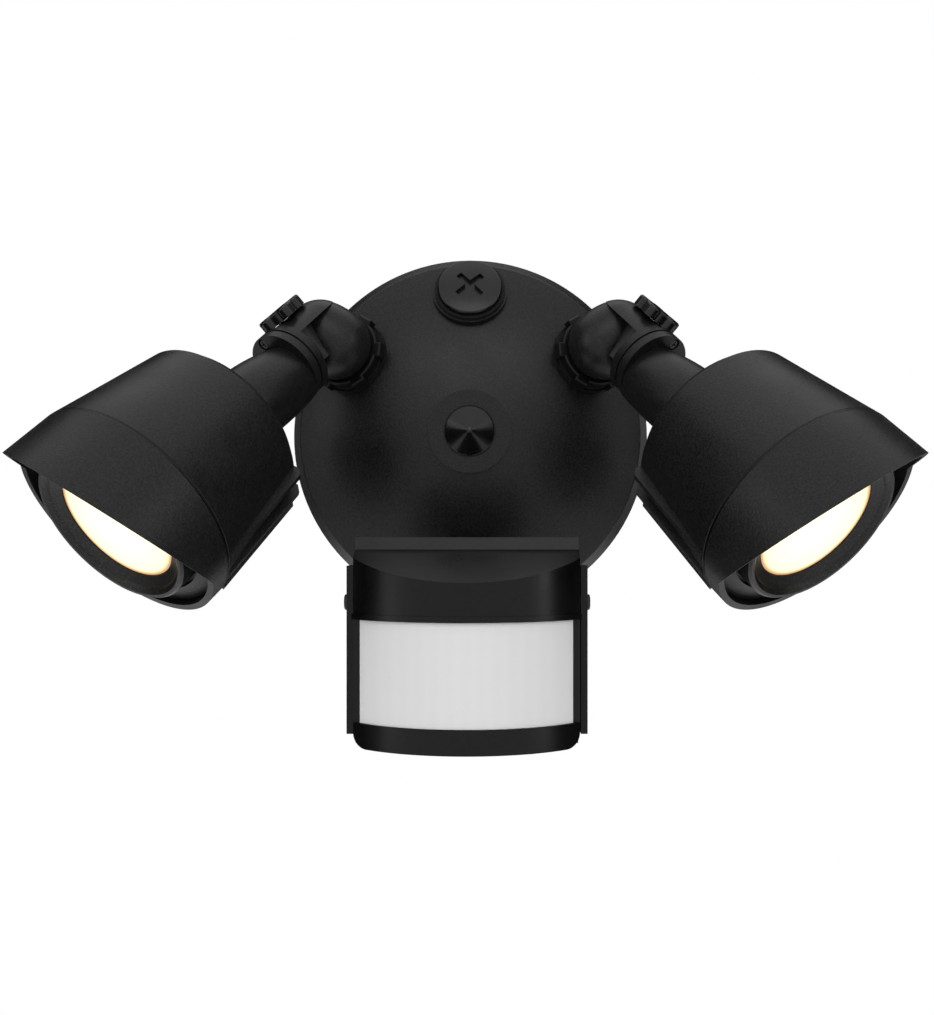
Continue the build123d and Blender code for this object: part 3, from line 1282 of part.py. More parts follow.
def make_sensor_stem():
    eye_centre = Vector(0, PAN_Y, PAN_EYE_MID_Z)
    reach = (eye_centre - BOTTOM_PORT.origin).dot(BOTTOM_PORT.z_dir)
    eye_height = PAN_EYE_TOP_Z - PAN_EYE_BOTTOM_Z
    with BuildPart() as stem:
        with BuildSketch(BOTTOM_PORT.offset(-THREAD_REACH)):
            Circle(THREAD_RADIUS)
        extrude(amount=THREAD_REACH + LOCKNUT_TOP + STEM_COLLAR)
        with BuildSketch(BOTTOM_PORT.offset(LOCKNUT_TOP)):
            Circle(STEM_NECK_RADIUS)
        extrude(amount=reach - LOCKNUT_TOP)
        with BuildSketch(level(PAN_EYE_BOTTOM_Z)):
            with Locations((0, PAN_Y)):
                Circle(PAN_EYE_RADIUS)
        extrude(amount=eye_height)
        with BuildSketch(level(PAN_EYE_BOTTOM_Z)):
            with Locations((0, PAN_Y)):
                Circle(PAN_SCREW_RADIUS + RUN_FIT)
        extrude(amount=eye_height, mode=Mode.SUBTRACT)
        with BuildSketch(BOTTOM_PORT.offset(-THREAD_REACH)):
            Circle(WIRE_BORE_RADIUS)
        extrude(amount=THREAD_REACH + LOCKNUT_TOP - STEM_FLOOR, mode=Mode.SUBTRACT)
    return stem.part


def make_sensor_yoke():
    plate_front = YOKE_BACK_Y - YOKE_PLATE
    ear_back = YOKE_FRONT_Y + YOKE_EAR_DEPTH
    ear = [
        (YOKE_BACK_Y, FORK_TOP_Z),
        (plate_front, FORK_TOP_Z),
        (ear_back, YOKE_TOP_Z),
        (YOKE_FRONT_Y, YOKE_TOP_Z),
        (YOKE_FRONT_Y, YOKE_BOTTOM_Z),
        (ear_back, YOKE_BOTTOM_Z),
        (plate_front, FORK_BOTTOM_Z),
        (YOKE_BACK_Y, FORK_BOTTOM_Z),
    ]
    with BuildPart() as yoke:
        # back plate
        with BuildSketch(facing(YOKE_BACK_Y, 0, (FORK_TOP_Z + FORK_BOTTOM_Z) / 2)):
            Rectangle(2 * YOKE_OUTER, FORK_TOP_Z - FORK_BOTTOM_Z)
        extrude(amount=YOKE_PLATE)
        # side ears with the pin bores
        for side in (-1, 1):
            with BuildSketch(Plane(origin=(side * YOKE_INNER, 0, 0), x_dir=(0, side, 0), z_dir=(side, 0, 0))):
                with BuildLine():
                    Polyline(*[(side * y, z) for y, z in ear], close=True)
                make_face()
            extrude(amount=YOKE_THICKNESS)
            with BuildSketch(pivot_plane(side, YOKE_INNER)):
                Circle(PIVOT_BORE)
            extrude(amount=YOKE_THICKNESS, mode=Mode.SUBTRACT)
        # fork round the stem's eye
        for bottom in (FORK_BOTTOM_Z, FORK_TOP_Z - PAN_LUG_THICKNESS):
            with BuildSketch(level(bottom)):
                with Locations((0, PAN_Y)):
                    Circle(PAN_EYE_RADIUS)
                with Locations((0, (PAN_Y + YOKE_BACK_Y) / 2)):
                    Rectangle(2 * PAN_EYE_RADIUS, PAN_Y - YOKE_BACK_Y)
                with Locations((0, PAN_Y)):
                    Circle(PAN_SCREW_RADIUS + SLIP_FIT, mode=Mode.SUBTRACT)
            extrude(amount=PAN_LUG_THICKNESS)
    return yoke.part


def make_sensor_pan_screw():
    seat = Plane(origin=(0, PAN_Y, FORK_BOTTOM_Z), x_dir=(1, 0, 0), z_dir=(0, 0, -1))
    length = FORK_TOP_Z - FORK_BOTTOM_Z
    return pan_head_screw(seat, PAN_SCREW_RADIUS, length, PAN_HEAD_RADIUS, PAN_HEAD_HEIGHT)


def make_sensor_pivot_pins():
    length = YOKE_THICKNESS + YOKE_GAP + SENSOR_WALL + PIVOT_ENGAGE - PIVOT_END_GAP
    with BuildPart() as pins:
        for side in (-1, 1):
            with BuildSketch(pivot_plane(side, YOKE_OUTER)):
                Circle(PIVOT_RADIUS)
            extrude(amount=-length)
            with BuildSketch(pivot_plane(side, YOKE_OUTER)):
                Circle(PIVOT_HEAD_RADIUS)
            extrude(amount=PIVOT_HEAD)
        heads = pins.edges().filter_by(GeomType.CIRCLE).group_by(lambda edge: round(abs(edge.center().X), 2))[-1]
        fillet(heads, PIVOT_HEAD_FILLET)
    return pins.part


# ================================================================ build and write every piece
os.makedirs("parts", exist_ok=True)

SINGLE_PIECES = {
    "canopy": make_canopy,
    "canopy_gasket": make_canopy_gasket,
    "mounting_crossbar": make_crossbar,
    "ground_screw": make_ground_screw,
    "centre_bolt": make_centre_bolt,
    "centre_cap": make_centre_cap,
    "plug_gasket": lambda: make_port_gasket(TOP_PORT),
    "port_plug": make_port_plug,
    "driver_box": make_driver_box,
    "driver_screws": make_driver_screws,
    "sensor_port_gasket": lambda: make_port_gasket(BOTTOM_PORT),
    "sensor_locknut": lambda: make_locknut(BOTTOM_PORT),
    "sensor_stem": make_sensor_stem,
    "sensor_pan_screw": make_sensor_pan_screw,
    "sensor_yoke": make_sensor_yoke,
    "sensor_pivot_pins": make_sensor_pivot_pins,
    "sensor_rear_shell": make_sensor_rear_shell,
    "sensor_hood": make_sensor_hood,
    "sensor_front_frame": make_sensor_front_frame,
    "sensor_fresnel_lens": make_sensor_fresnel_lens,
    "sensor_board": make_sensor_board,
    "pir_detector": make_pir_detector,
    "sensor_screws": make_sensor_screws,
    "sensitivity_dial": lambda: make_dial(DIAL_PLACES[0]),
    "duration_dial": lambda: make_dial(DIAL_PLACES[1]),
    "daylight_dial": lambda: make_dial(DIAL_PLACES[2]),
}
for piece_name, make_piece in SINGLE_PIECES.items():
    save(piece_name, make_piece())

LAMP_PIECES = {
    "port_gasket": lambda: make_port_gasket(RIGHT_PORT),
    "locknut": lambda: make_locknut(RIGHT_PORT),
    "elbow": make_elbow,
    "knuckle": make_knuckle,
    "hinge_bolt": make_hinge_bolt,
    "star_knob": make_star_knob,
    "flange_seal": make_flange_seal,
    "flange_screw": make_flange_screw,
    "neck": make_neck,
    "neck_nut": make_neck_nut,
    "head_housing": make_head_housing,
    "visor_shroud": make_visor_shroud,
    "bezel": make_bezel,
    "bezel_screws": make_bezel_screws,
    "lens": make_lens,
    "led_board": make_led_board,
}
for piece_name, make_piece in LAMP_PIECES.items():
    right_piece = make_piece()
    save("right_" + piece_name, right_piece)
    save("left_" + piece_name, mirror(right_piece, about=Plane.YZ))
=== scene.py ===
"""Twin-head floodlight with a motion sensor: its finishes, lens window, studio and camera."""

import logging
import math
from dataclasses import dataclass
from enum import Enum
from typing import Any

import bpy
import numpy as np
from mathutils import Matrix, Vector


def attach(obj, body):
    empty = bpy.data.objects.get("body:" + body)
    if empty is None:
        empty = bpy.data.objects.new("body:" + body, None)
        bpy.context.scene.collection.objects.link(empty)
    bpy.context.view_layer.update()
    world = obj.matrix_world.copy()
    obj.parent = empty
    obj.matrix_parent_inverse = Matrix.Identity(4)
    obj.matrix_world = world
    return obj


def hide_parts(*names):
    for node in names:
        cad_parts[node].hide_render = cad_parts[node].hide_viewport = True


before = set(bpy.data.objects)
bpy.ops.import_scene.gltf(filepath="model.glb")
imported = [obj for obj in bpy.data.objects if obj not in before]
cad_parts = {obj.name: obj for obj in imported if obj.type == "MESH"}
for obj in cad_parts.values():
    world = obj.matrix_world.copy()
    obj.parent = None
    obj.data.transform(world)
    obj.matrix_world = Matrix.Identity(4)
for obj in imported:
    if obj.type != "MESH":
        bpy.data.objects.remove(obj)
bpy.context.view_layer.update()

log = logging.getLogger("floodlight")

MM = 0.001
WHITE = "#FFFFFF"
# The wave texture turns this many radians for each metre of the surface at a scale of one.
WAVE_RATE = 20
Sockets = dict[str | int, Any]


def linear(colour: str) -> tuple[float, float, float, float]:
    """Turns an sRGB hex colour into the linear colour that a shader takes.

    Args:
        colour: six hex digits after a hash.

    Returns:
        Red, green, blue and an alpha of one.
    """
    parts = [int(colour[i : i + 2], 16) / 255 for i in (1, 3, 5)]
    red, green, blue = (
        c / 12.92 if c <= 0.04045 else ((c + 0.055) / 1.055) ** 2.4 for c in parts
    )
    return red, green, blue, 1.0


def add_node(
    tree: bpy.types.NodeTree,
    kind: str,
    sockets: Sockets | None = None,
    **settings: Any,
) -> bpy.types.Node:
    """Adds one node with its settings, values and links.

    Args:
        tree: the node tree that it goes into.
        kind: Blender's name for the type of node.
        sockets: a value, or an output to link, for each input by name or number.
        settings: the node's own properties.

    Returns:
        The new node.
    """
    node = tree.nodes.new(kind)
    for name, value in settings.items():
        setattr(node, name, value)
    for key, value in (sockets or {}).items():
        if isinstance(value, bpy.types.NodeSocket):
            tree.links.new(value, node.inputs[key])
        else:
            node.inputs[key].default_value = value
    return node


def add_ramp(
    tree: bpy.types.NodeTree,
    factor: bpy.types.NodeSocket,
    stops: list[tuple[float, str]],
) -> bpy.types.NodeSocket:
    """Spreads hex colours along a factor.

    Args:
        tree: the node tree that it goes into.
        factor: the output that runs from 0 to 1.
        stops: each colour's place and its hex value, in order.

    Returns:
        The ramp's colour output.
    """
    ramp = add_node(tree, "ShaderNodeValToRGB", {"Fac": factor})
    elements = ramp.color_ramp.elements
    while len(elements) < len(stops):
        elements.new(0.5)
    for element, (place, colour) in zip(elements, stops):
        element.position = place
        element.color = linear(colour)
    return ramp.outputs["Color"]


def empty_material(name: str) -> tuple[bpy.types.Material, bpy.types.NodeTree]:
    """Makes a material with an empty node tree.

    Args:
        name: what the material is called.

    Returns:
        The material and its tree.
    """
    material = bpy.data.materials.new(name)
    material.use_nodes = True
    material.node_tree.nodes.clear()
    return material, material.node_tree


def finish_surface(tree: bpy.types.NodeTree, shader: bpy.types.Node) -> None:
    """Sends a shader to the material's surface.

    Args:
        tree: the material's tree.
        shader: the node whose first output is the surface.
    """
    add_node(tree, "ShaderNodeOutputMaterial", {"Surface": shader.outputs[0]})


@dataclass(frozen=True)
class GrainedFinish:
    """A surface whose grain is one noise of a real size: coats, mouldings, rubber and metal.

    The grain lifts the surface by relief_mm and swings the colour between shade and tint. A
    broad, slow noise of drift_mm swings the roughness about its middle, as handling and an
    uneven spray do.
    """

    name: str
    shade: str
    tint: str
    roughness: float
    grain_mm: float
    relief_mm: float
    specular: float = 0.5
    metallic: float = 0.0
    drift_mm: float = 18.0
    roughness_swing: float = 0.05

    def material(self) -> bpy.types.Material:
        """Makes the material.

        Returns:
            The new material.
        """
        material, tree = empty_material(self.name)
        place = add_node(tree, "ShaderNodeTexCoord").outputs["Object"]
        grain = add_node(
            tree,
            "ShaderNodeTexNoise",
            {"Vector": place, "Scale": 1 / (self.grain_mm * MM), "Detail": 3.0},
        )
        drift = add_node(
            tree,
            "ShaderNodeTexNoise",
            {"Vector": place, "Scale": 1 / (self.drift_mm * MM), "Detail": 2.0},
        )
        rough = add_node(
            tree,
            "ShaderNodeMapRange",
            {
                "Value": drift.outputs["Fac"],
                "From Min": 0.3,
                "From Max": 0.7,
                "To Min": self.roughness - self.roughness_swing,
                "To Max": self.roughness + self.roughness_swing,
            },
        )
        bump = add_node(
            tree,
            "ShaderNodeBump",
            {
                "Height": grain.outputs["Fac"],
                "Distance": self.relief_mm * MM,
                "Strength": 1.0,
            },
        )
        colour = add_ramp(
            tree, grain.outputs["Fac"], [(0.35, self.shade), (0.65, self.tint)]
        )
        shader = add_node(
            tree,
            "ShaderNodeBsdfPrincipled",
            {
                "Base Color": colour,
                "Roughness": rough.outputs["Result"],
                "Normal": bump.outputs["Normal"],
                "Metallic": self.metallic,
                "Specular IOR Level": self.specular,
            },
        )
        finish_surface(tree, shader)
        return material


def lamp_frame(
    tree: bpy.types.NodeTree,
    place: bpy.types.NodeSocket,
    centre: tuple[float, float, float],
    axis: tuple[float, float, float],
) -> bpy.types.NodeSocket:
    """Turns object coordinates into a lamp's own, with z along its axis.

    Args:
        tree: the node tree that the mapping goes into.
        place: the object coordinates.
        centre: where the lamp's own coordinates start, in mm.
        axis: the unit vector along the lamp.

    Returns:
        The turned coordinates, in metres.
    """
    turn = Vector((0, 0, 1)).rotation_difference(Vector(axis)).to_euler()
    mapping = add_node(
        tree,
        "ShaderNodeMapping",
        {
            "Vector": place,
            "Location": tuple(c * MM for c in centre),
            "Rotation": tuple(turn),
        },
        vector_type="TEXTURE",
    )
    return mapping.outputs[0]


@dataclass(frozen=True)
class JointedCoat:
    """The fine powder coat of the housing and the shroud, with painted shade in the gap between
    them.

    The joint is a gap of joint_mm across the lamp's axis at height_mm. The coat builds a soft
    shoulder on each side of it, and the grain is that of the other castings.
    """

    name: str
    centre: tuple[float, float, float]
    axis: tuple[float, float, float]
    height_mm: float
    joint_mm: float = 0.5
    shoulder_mm: float = 0.3

    def material(self) -> bpy.types.Material:
        """Makes the material, the powder coat with a groove laid over its relief and a
        near-black painted shade laid over its colour in the gap.

        Returns:
            The new material.
        """
        material = FINISHES[Slot.POWDER_COAT].material()
        material.name = self.name
        tree = material.node_tree
        place = next(n for n in tree.nodes if n.type == "TEX_COORD").outputs["Object"]
        shader = next(n for n in tree.nodes if n.type == "BSDF_PRINCIPLED")
        along = add_node(
            tree,
            "ShaderNodeSeparateXYZ",
            {"Vector": lamp_frame(tree, place, self.centre, self.axis)},
        )
        offset = add_node(
            tree,
            "ShaderNodeMath",
            {0: along.outputs["Z"], 1: self.height_mm * MM},
            operation="SUBTRACT",
        )
        distance = add_node(
            tree, "ShaderNodeMath", {0: offset.outputs[0]}, operation="ABSOLUTE"
        )
        metal = add_node(
            tree,
            "ShaderNodeMapRange",
            {
                "Value": distance.outputs[0],
                "From Min": self.joint_mm / 2 * MM,
                "From Max": (self.joint_mm / 2 + self.shoulder_mm) * MM,
            },
        )
        coat = shader.inputs["Base Color"].links[0].from_socket
        grain = shader.inputs["Normal"].links[0].from_socket
        # Painted shade: the coat turns near black, #020202, across the gap, where shade falls
        # between the housing and the shroud. metal is 1 on the coat and 0 in the gap.
        colour = add_node(
            tree,
            "ShaderNodeMixRGB",
            {"Fac": metal.outputs["Result"], "Color1": linear("#020202"), "Color2": coat},
        )
        groove = add_node(
            tree,
            "ShaderNodeBump",
            {
                "Height": metal.outputs["Result"],
                "Distance": self.joint_mm * MM,
                "Strength": 1.0,
                "Normal": grain,
            },
        )
        tree.links.new(colour.outputs[0], shader.inputs["Base Color"])
        tree.links.new(groove.outputs["Normal"], shader.inputs["Normal"])
        return material


@dataclass(frozen=True)
class GlitterCoat:
    """Coarse textured powder coat: beads of cured powder, each with its own tilt and glint.

    Cells of bead_mm stand proud by relief_mm, and one cell in a few is painted lighter, a
    painted glint which gives the bezel and the shroud's inside their sparkle beside the lit
    lens.
    """

    name: str
    shade: str
    painted_glint: str
    roughness: float
    bead_mm: float
    relief_mm: float
    specular: float

    def material(self) -> bpy.types.Material:
        """Makes the material.

        Returns:
            The new material.
        """
        material, tree = empty_material(self.name)
        place = add_node(tree, "ShaderNodeTexCoord").outputs["Object"]
        beads = add_node(
            tree,
            "ShaderNodeTexVoronoi",
            {"Vector": place, "Scale": 1 / (self.bead_mm * MM)},
        )
        bump = add_node(
            tree,
            "ShaderNodeBump",
            {
                "Height": beads.outputs["Distance"],
                "Distance": self.relief_mm * MM,
                "Strength": 1.0,
            },
        )
        # Painted glints: one bead in a few is coloured lighter, standing in for light caught on
        # it.
        colour = add_ramp(
            tree, beads.outputs["Color"], [(0.62, self.shade), (0.95, self.painted_glint)]
        )
        shader = add_node(
            tree,
            "ShaderNodeBsdfPrincipled",
            {
                "Base Color": colour,
                "Roughness": self.roughness,
                "Normal": bump.outputs["Normal"],
                "Specular IOR Level": self.specular,
            },
        )
        finish_surface(tree, shader)
        return material


@dataclass(frozen=True)
class LitPolycarbonate:
    """Frosted cream polycarbonate with the lamp on behind it.

    It is nearly white over the middle, warmer toward the edge and amber in the last millimetre,
    where the light comes through the full depth of the lens's skirt.
    """

    name: str
    centre: tuple[float, float, float]
    axis: tuple[float, float, float]
    radius_mm: float
    glow: float = 1.0
    grain_mm: float = 1.6
    relief_mm: float = 0.02
    moulded: str = "#E8D9B4"

    def material(self) -> bpy.types.Material:
        """Makes the material, with rings about the lamp's axis.

        Returns:
            The new material.
        """
        material, tree = empty_material(self.name)
        place = add_node(tree, "ShaderNodeTexCoord").outputs["Object"]
        across = lamp_frame(tree, place, self.centre, self.axis)
        flat = add_node(
            tree,
            "ShaderNodeVectorMath",
            {0: across, 1: (1.0, 1.0, 0.0)},
            operation="MULTIPLY",
        )
        distance = add_node(
            tree, "ShaderNodeVectorMath", {0: flat.outputs[0]}, operation="LENGTH"
        )
        share = add_node(
            tree,
            "ShaderNodeMapRange",
            {"Value": distance.outputs["Value"], "From Max": self.radius_mm * MM},
        )
        rings = [
            (0.0, "#FFF9E4"),
            (0.60, "#FFF4D6"),
            (0.90, "#FDEBC4"),
            (0.955, "#E2B87C"),
            (0.975, "#9A6234"),
        ]
        colour = add_ramp(tree, share.outputs["Result"], rings)
        grain = add_node(
            tree,
            "ShaderNodeTexNoise",
            {"Vector": place, "Scale": 1 / (self.grain_mm * MM), "Detail": 2.0},
        )
        bump = add_node(
            tree,
            "ShaderNodeBump",
            {
                "Height": grain.outputs["Fac"],
                "Distance": self.relief_mm * MM,
                "Strength": 0.5,
            },
        )
        shader = add_node(
            tree,
            "ShaderNodeBsdfPrincipled",
            {
                "Base Color": linear(self.moulded),
                "Roughness": 0.45,
                "Normal": bump.outputs["Normal"],
                "Emission Color": colour,
                "Emission Strength": self.glow,
            },
        )
        finish_surface(tree, shader)
        return material


@dataclass(frozen=True)
class MilkyPolyethylene:
    """Milky moulded polyethylene, thin enough to pass heat: pale, soft, faintly striped.

    Upright strips of strip_mm follow the lens segments, with painted shade swinging lighter and
    darker across each strip, and the light that scatters inside keeps the edges soft.
    """

    name: str
    shade: str
    tint: str
    strip_mm: float
    cloud_mm: float = 1.1
    cloud_relief_mm: float = 0.01
    scatter_mm: float = 1.5

    def material(self) -> bpy.types.Material:
        """Makes the material.

        Returns:
            The new material.
        """
        material, tree = empty_material(self.name)
        place = add_node(tree, "ShaderNodeTexCoord").outputs["Object"]
        strips = add_node(
            tree,
            "ShaderNodeTexWave",
            {
                "Vector": place,
                "Scale": 2 * math.pi / WAVE_RATE / (self.strip_mm * MM),
                "Distortion": 0.0,
            },
            bands_direction="X",
            wave_profile="SIN",
        )
        # Painted shade: the colour swings from shade to tint and back across each lens strip,
        # standing in for the shading of its curve.
        colour = add_ramp(
            tree, strips.outputs["Color"], [(0.0, self.shade), (1.0, self.tint)]
        )
        cloud = add_node(
            tree,
            "ShaderNodeTexNoise",
            {"Vector": place, "Scale": 1 / (self.cloud_mm * MM)},
        )
        bump = add_node(
            tree,
            "ShaderNodeBump",
            {
                "Height": cloud.outputs["Fac"],
                "Distance": self.cloud_relief_mm * MM,
                "Strength": 0.5,
            },
        )
        shader = add_node(
            tree,
            "ShaderNodeBsdfPrincipled",
            {
                "Base Color": colour,
                "Roughness": 0.5,
                "Normal": bump.outputs["Normal"],
                "Subsurface Weight": 0.25,
                "Subsurface Radius": (1.0, 1.0, 1.0),
                "Subsurface Scale": self.scatter_mm * MM,
                "Specular IOR Level": 0.4,
            },
        )
        finish_surface(tree, shader)
        return material


class Slot(Enum):
    """The material slots of the parts, by the name each has in the record."""

    POWDER_COAT = "powder_coat"
    TEXTURED_COAT = "textured_coat"
    LOCKNUT_COAT = "locknut_coat"
    GASKET_RUBBER = "gasket_rubber"
    ZINC_STEEL = "zinc_steel"
    GROUND_BRASS = "ground_brass"
    GLOSS_MOULDING = "gloss_moulding"
    SENSOR_MOULDING = "sensor_moulding"
    DIAL_MOULDING = "dial_moulding"
    FRESNEL_LENS = "fresnel_lens"
    LAMP_LENS = "lamp_lens"
    LED_BOARD_COAT = "led_board_coat"
    CIRCUIT_BOARD = "circuit_board"
    DETECTOR_CAN = "detector_can"
    DRIVER_CASE = "driver_case"


FINISHES: dict[Slot, GrainedFinish | GlitterCoat | MilkyPolyethylene] = {
    # Polyester powder on die-cast aluminium, sprayed and baked: a fine even tooth that breaks
    # a highlight into a soft sheen. The tooth is 0.3 mm, drawn at 0.55 mm so that it shows.
    Slot.POWDER_COAT: GrainedFinish(
        "sprayed_powder_coat", "#0B0B0C", "#232324", 0.36, 0.55, 0.07, specular=0.25
    ),
    # The same powder left coarse: beads the size of fine sand that sparkle one by one, partly
    # through painted glints on lighter beads.
    Slot.TEXTURED_COAT: GlitterCoat(
        "textured_powder_coat", "#121212", "#33312F", 0.38, 0.45, 0.05, 0.3
    ),
    # Thin satin lacquer on the die-cast locknuts: the darkest metal of the fitting.
    Slot.LOCKNUT_COAT: GrainedFinish(
        "satin_lacquer", "#0B0B0C", "#121213", 0.42, 1.2, 0.01, specular=0.18
    ),
    # Moulded rubber, matt and slightly floury.
    Slot.GASKET_RUBBER: GrainedFinish(
        "moulded_rubber", "#151515", "#1E1E1E", 0.75, 1.0, 0.02, specular=0.2
    ),
    # Zinc plate with a clear passivate: bright, a little blue and cloudy.
    Slot.ZINC_STEEL: GrainedFinish(
        "zinc_plated_steel", "#A9ABAF", "#C4C6C9", 0.34, 2.2, 0.006, metallic=1.0
    ),
    # Brass dyed green, so that the earth screw can't be taken for another.
    Slot.GROUND_BRASS: GrainedFinish(
        "green_dyed_brass", "#2F6B3C", "#3F8350", 0.32, 1.5, 0.006, metallic=1.0
    ),
    # Nylon from a polished mould: a sharp small glint on a deep black.
    Slot.GLOSS_MOULDING: GrainedFinish(
        "polished_nylon", "#0D0D0E", "#131314", 0.24, 2.6, 0.006, specular=0.36
    ),
    # Moulded ABS with a fine spark finish: glossy at a glance, soft at the edges of a light.
    Slot.SENSOR_MOULDING: GrainedFinish(
        "moulded_abs", "#050506", "#0A0A0B", 0.30, 1.4, 0.004, specular=0.22
    ),
    # Acetal from a blasted mould: matt, so that the dials' arrows read.
    Slot.DIAL_MOULDING: GrainedFinish(
        "moulded_acetal", "#1B1B1C", "#242425", 0.55, 0.9, 0.01, specular=0.35
    ),
    # Milky polyethylene window over the heat detector, in upright lens strips, with a faint
    # painted shade across each strip.
    Slot.FRESNEL_LENS: MilkyPolyethylene(
        "milky_polyethylene", "#F9F9FA", "#FBFBFB", 4.4
    ),
    # White solder mask on the aluminium light board, behind the lamp's lens.
    Slot.LED_BOARD_COAT: GrainedFinish(
        "white_solder_mask", "#DCDCD6", "#E8E8E3", 0.45, 1.2, 0.004
    ),
    # Green solder mask over woven glass: the weave shows as a fine mottle.
    Slot.CIRCUIT_BOARD: GrainedFinish(
        "green_solder_mask", "#0F4A26", "#17602F", 0.35, 0.7, 0.006
    ),
    # Nickel-plated can of the heat detector, drawn and lightly polished.
    Slot.DETECTOR_CAN: GrainedFinish(
        "nickel_plated_can", "#B3AFA6", "#C9C5BC", 0.25, 1.4, 0.003, metallic=1.0
    ),
    # Pale grey moulded case of the driver, behind the canopy.
    Slot.DRIVER_CASE: GrainedFinish(
        "pale_grey_moulding", "#BCBCBA", "#C8C8C6", 0.5, 1.0, 0.01
    ),
}


# Black oxide over steel, oiled: the visible screws and pins are as dark as the metal round them.
BLACK_OXIDE = GrainedFinish(
    "black_oxide_steel", "#0C0C0E", "#161618", 0.35, 0.9, 0.006, specular=0.4
)


class Workshop:
    """Makes each finish once and puts it on the parts that take it."""

    def __init__(self) -> None:
        """Starts with the finish of the visible screws made, and no other."""
        self.made: dict[Slot, bpy.types.Material] = {}
        self.black_oxide = BLACK_OXIDE.material()

    def finish(self, slot: Slot) -> bpy.types.Material:
        """Gives a slot's material, made the first time it is asked for.

        Args:
            slot: which slot.

        Returns:
            The slot's material.
        """
        if slot not in self.made:
            self.made[slot] = FINISHES[slot].material()
        return self.made[slot]

    def dress(self, names: list[str], finish: bpy.types.Material | None = None) -> None:
        """Puts a finish on each node's slots, the one that its slot names if none is given.

        Args:
            names: the nodes.
            finish: one material for all of them, or none.
        """
        for name in names:
            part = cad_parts[name]
            for place in part.material_slots:
                slot = Slot(place.material.name.split(".")[0])
                place.link = "DATA"
                place.material = finish or self.finish(slot)
                log.info("%s: %s", name, place.material.name)


class Side(Enum):
    """Which lamp, by the sign of its x."""

    RIGHT = 1
    LEFT = -1

    @property
    def word(self) -> str:
        """The side's name as the parts' names begin with it."""
        return self.name.lower()


@dataclass
class Canopy:
    """The round cover, with the mounting, driver and blanking parts that go with it."""

    parts: tuple[str, ...] = (
        "canopy",
        "canopy_gasket",
        "mounting_crossbar",
        "ground_screw",
        "centre_bolt",
        "centre_cap",
        "plug_gasket",
        "port_plug",
        "driver_box",
        "driver_screws",
        "sensor_port_gasket",
        "sensor_locknut",
        "sensor_stem",
    )

    def dress(self, workshop: Workshop) -> None:
        """Puts the finishes on the canopy's parts."""
        workshop.dress(list(self.parts))


@dataclass
class Lamp:
    """One lamp: elbow, knuckle, knob, neck, housing, bezel, shroud and lit lens.

    head_foot is where the right lamp's axis leaves the back of its housing, in mm, and axis is
    the way that it shines. The heights are along that axis from there.
    """

    side: Side
    head_foot: tuple[float, float, float] = (76.824, -62.765, -1.386)
    axis: tuple[float, float, float] = (0.49028, -0.61416, -0.61841)
    seam_height: float = 42.7
    lens_height: float = 50.0
    window_radius: float = 19.75
    parts: tuple[str, ...] = (
        "port_gasket",
        "locknut",
        "elbow",
        "knuckle",
        "flange_seal",
        "hinge_bolt",
        "star_knob",
        "neck",
        "neck_nut",
        "bezel",
        "bezel_screws",
        "led_board",
    )

    def mirrored(self, point: tuple[float, float, float]) -> tuple[float, float, float]:
        """Gives a right-hand point or direction on this lamp's own side."""
        return point[0] * self.side.value, point[1], point[2]

    def dress(self, workshop: Workshop) -> None:
        """Puts the finishes on the lamp's parts, and light behind its lens.

        Args:
            workshop: where the finishes come from.
        """
        workshop.dress([f"{self.side.word}_{part}" for part in self.parts])
        workshop.dress([f"{self.side.word}_flange_screw"], workshop.black_oxide)
        joined = JointedCoat(
            f"{self.side.word}_jointed_powder_coat",
            self.mirrored(self.head_foot),
            self.mirrored(self.axis),
            self.seam_height,
        )
        shells = [f"{self.side.word}_{part}" for part in ("head_housing", "visor_shroud")]
        workshop.dress(shells, joined.material())
        middle = tuple(
            foot + self.lens_height * step
            for foot, step in zip(self.head_foot, self.axis)
        )
        glass = LitPolycarbonate(
            f"{self.side.word}_frosted_polycarbonate",
            self.mirrored(middle),
            self.mirrored(self.axis),
            self.window_radius,
        )
        workshop.dress([f"{self.side.word}_lens"], glass.material())


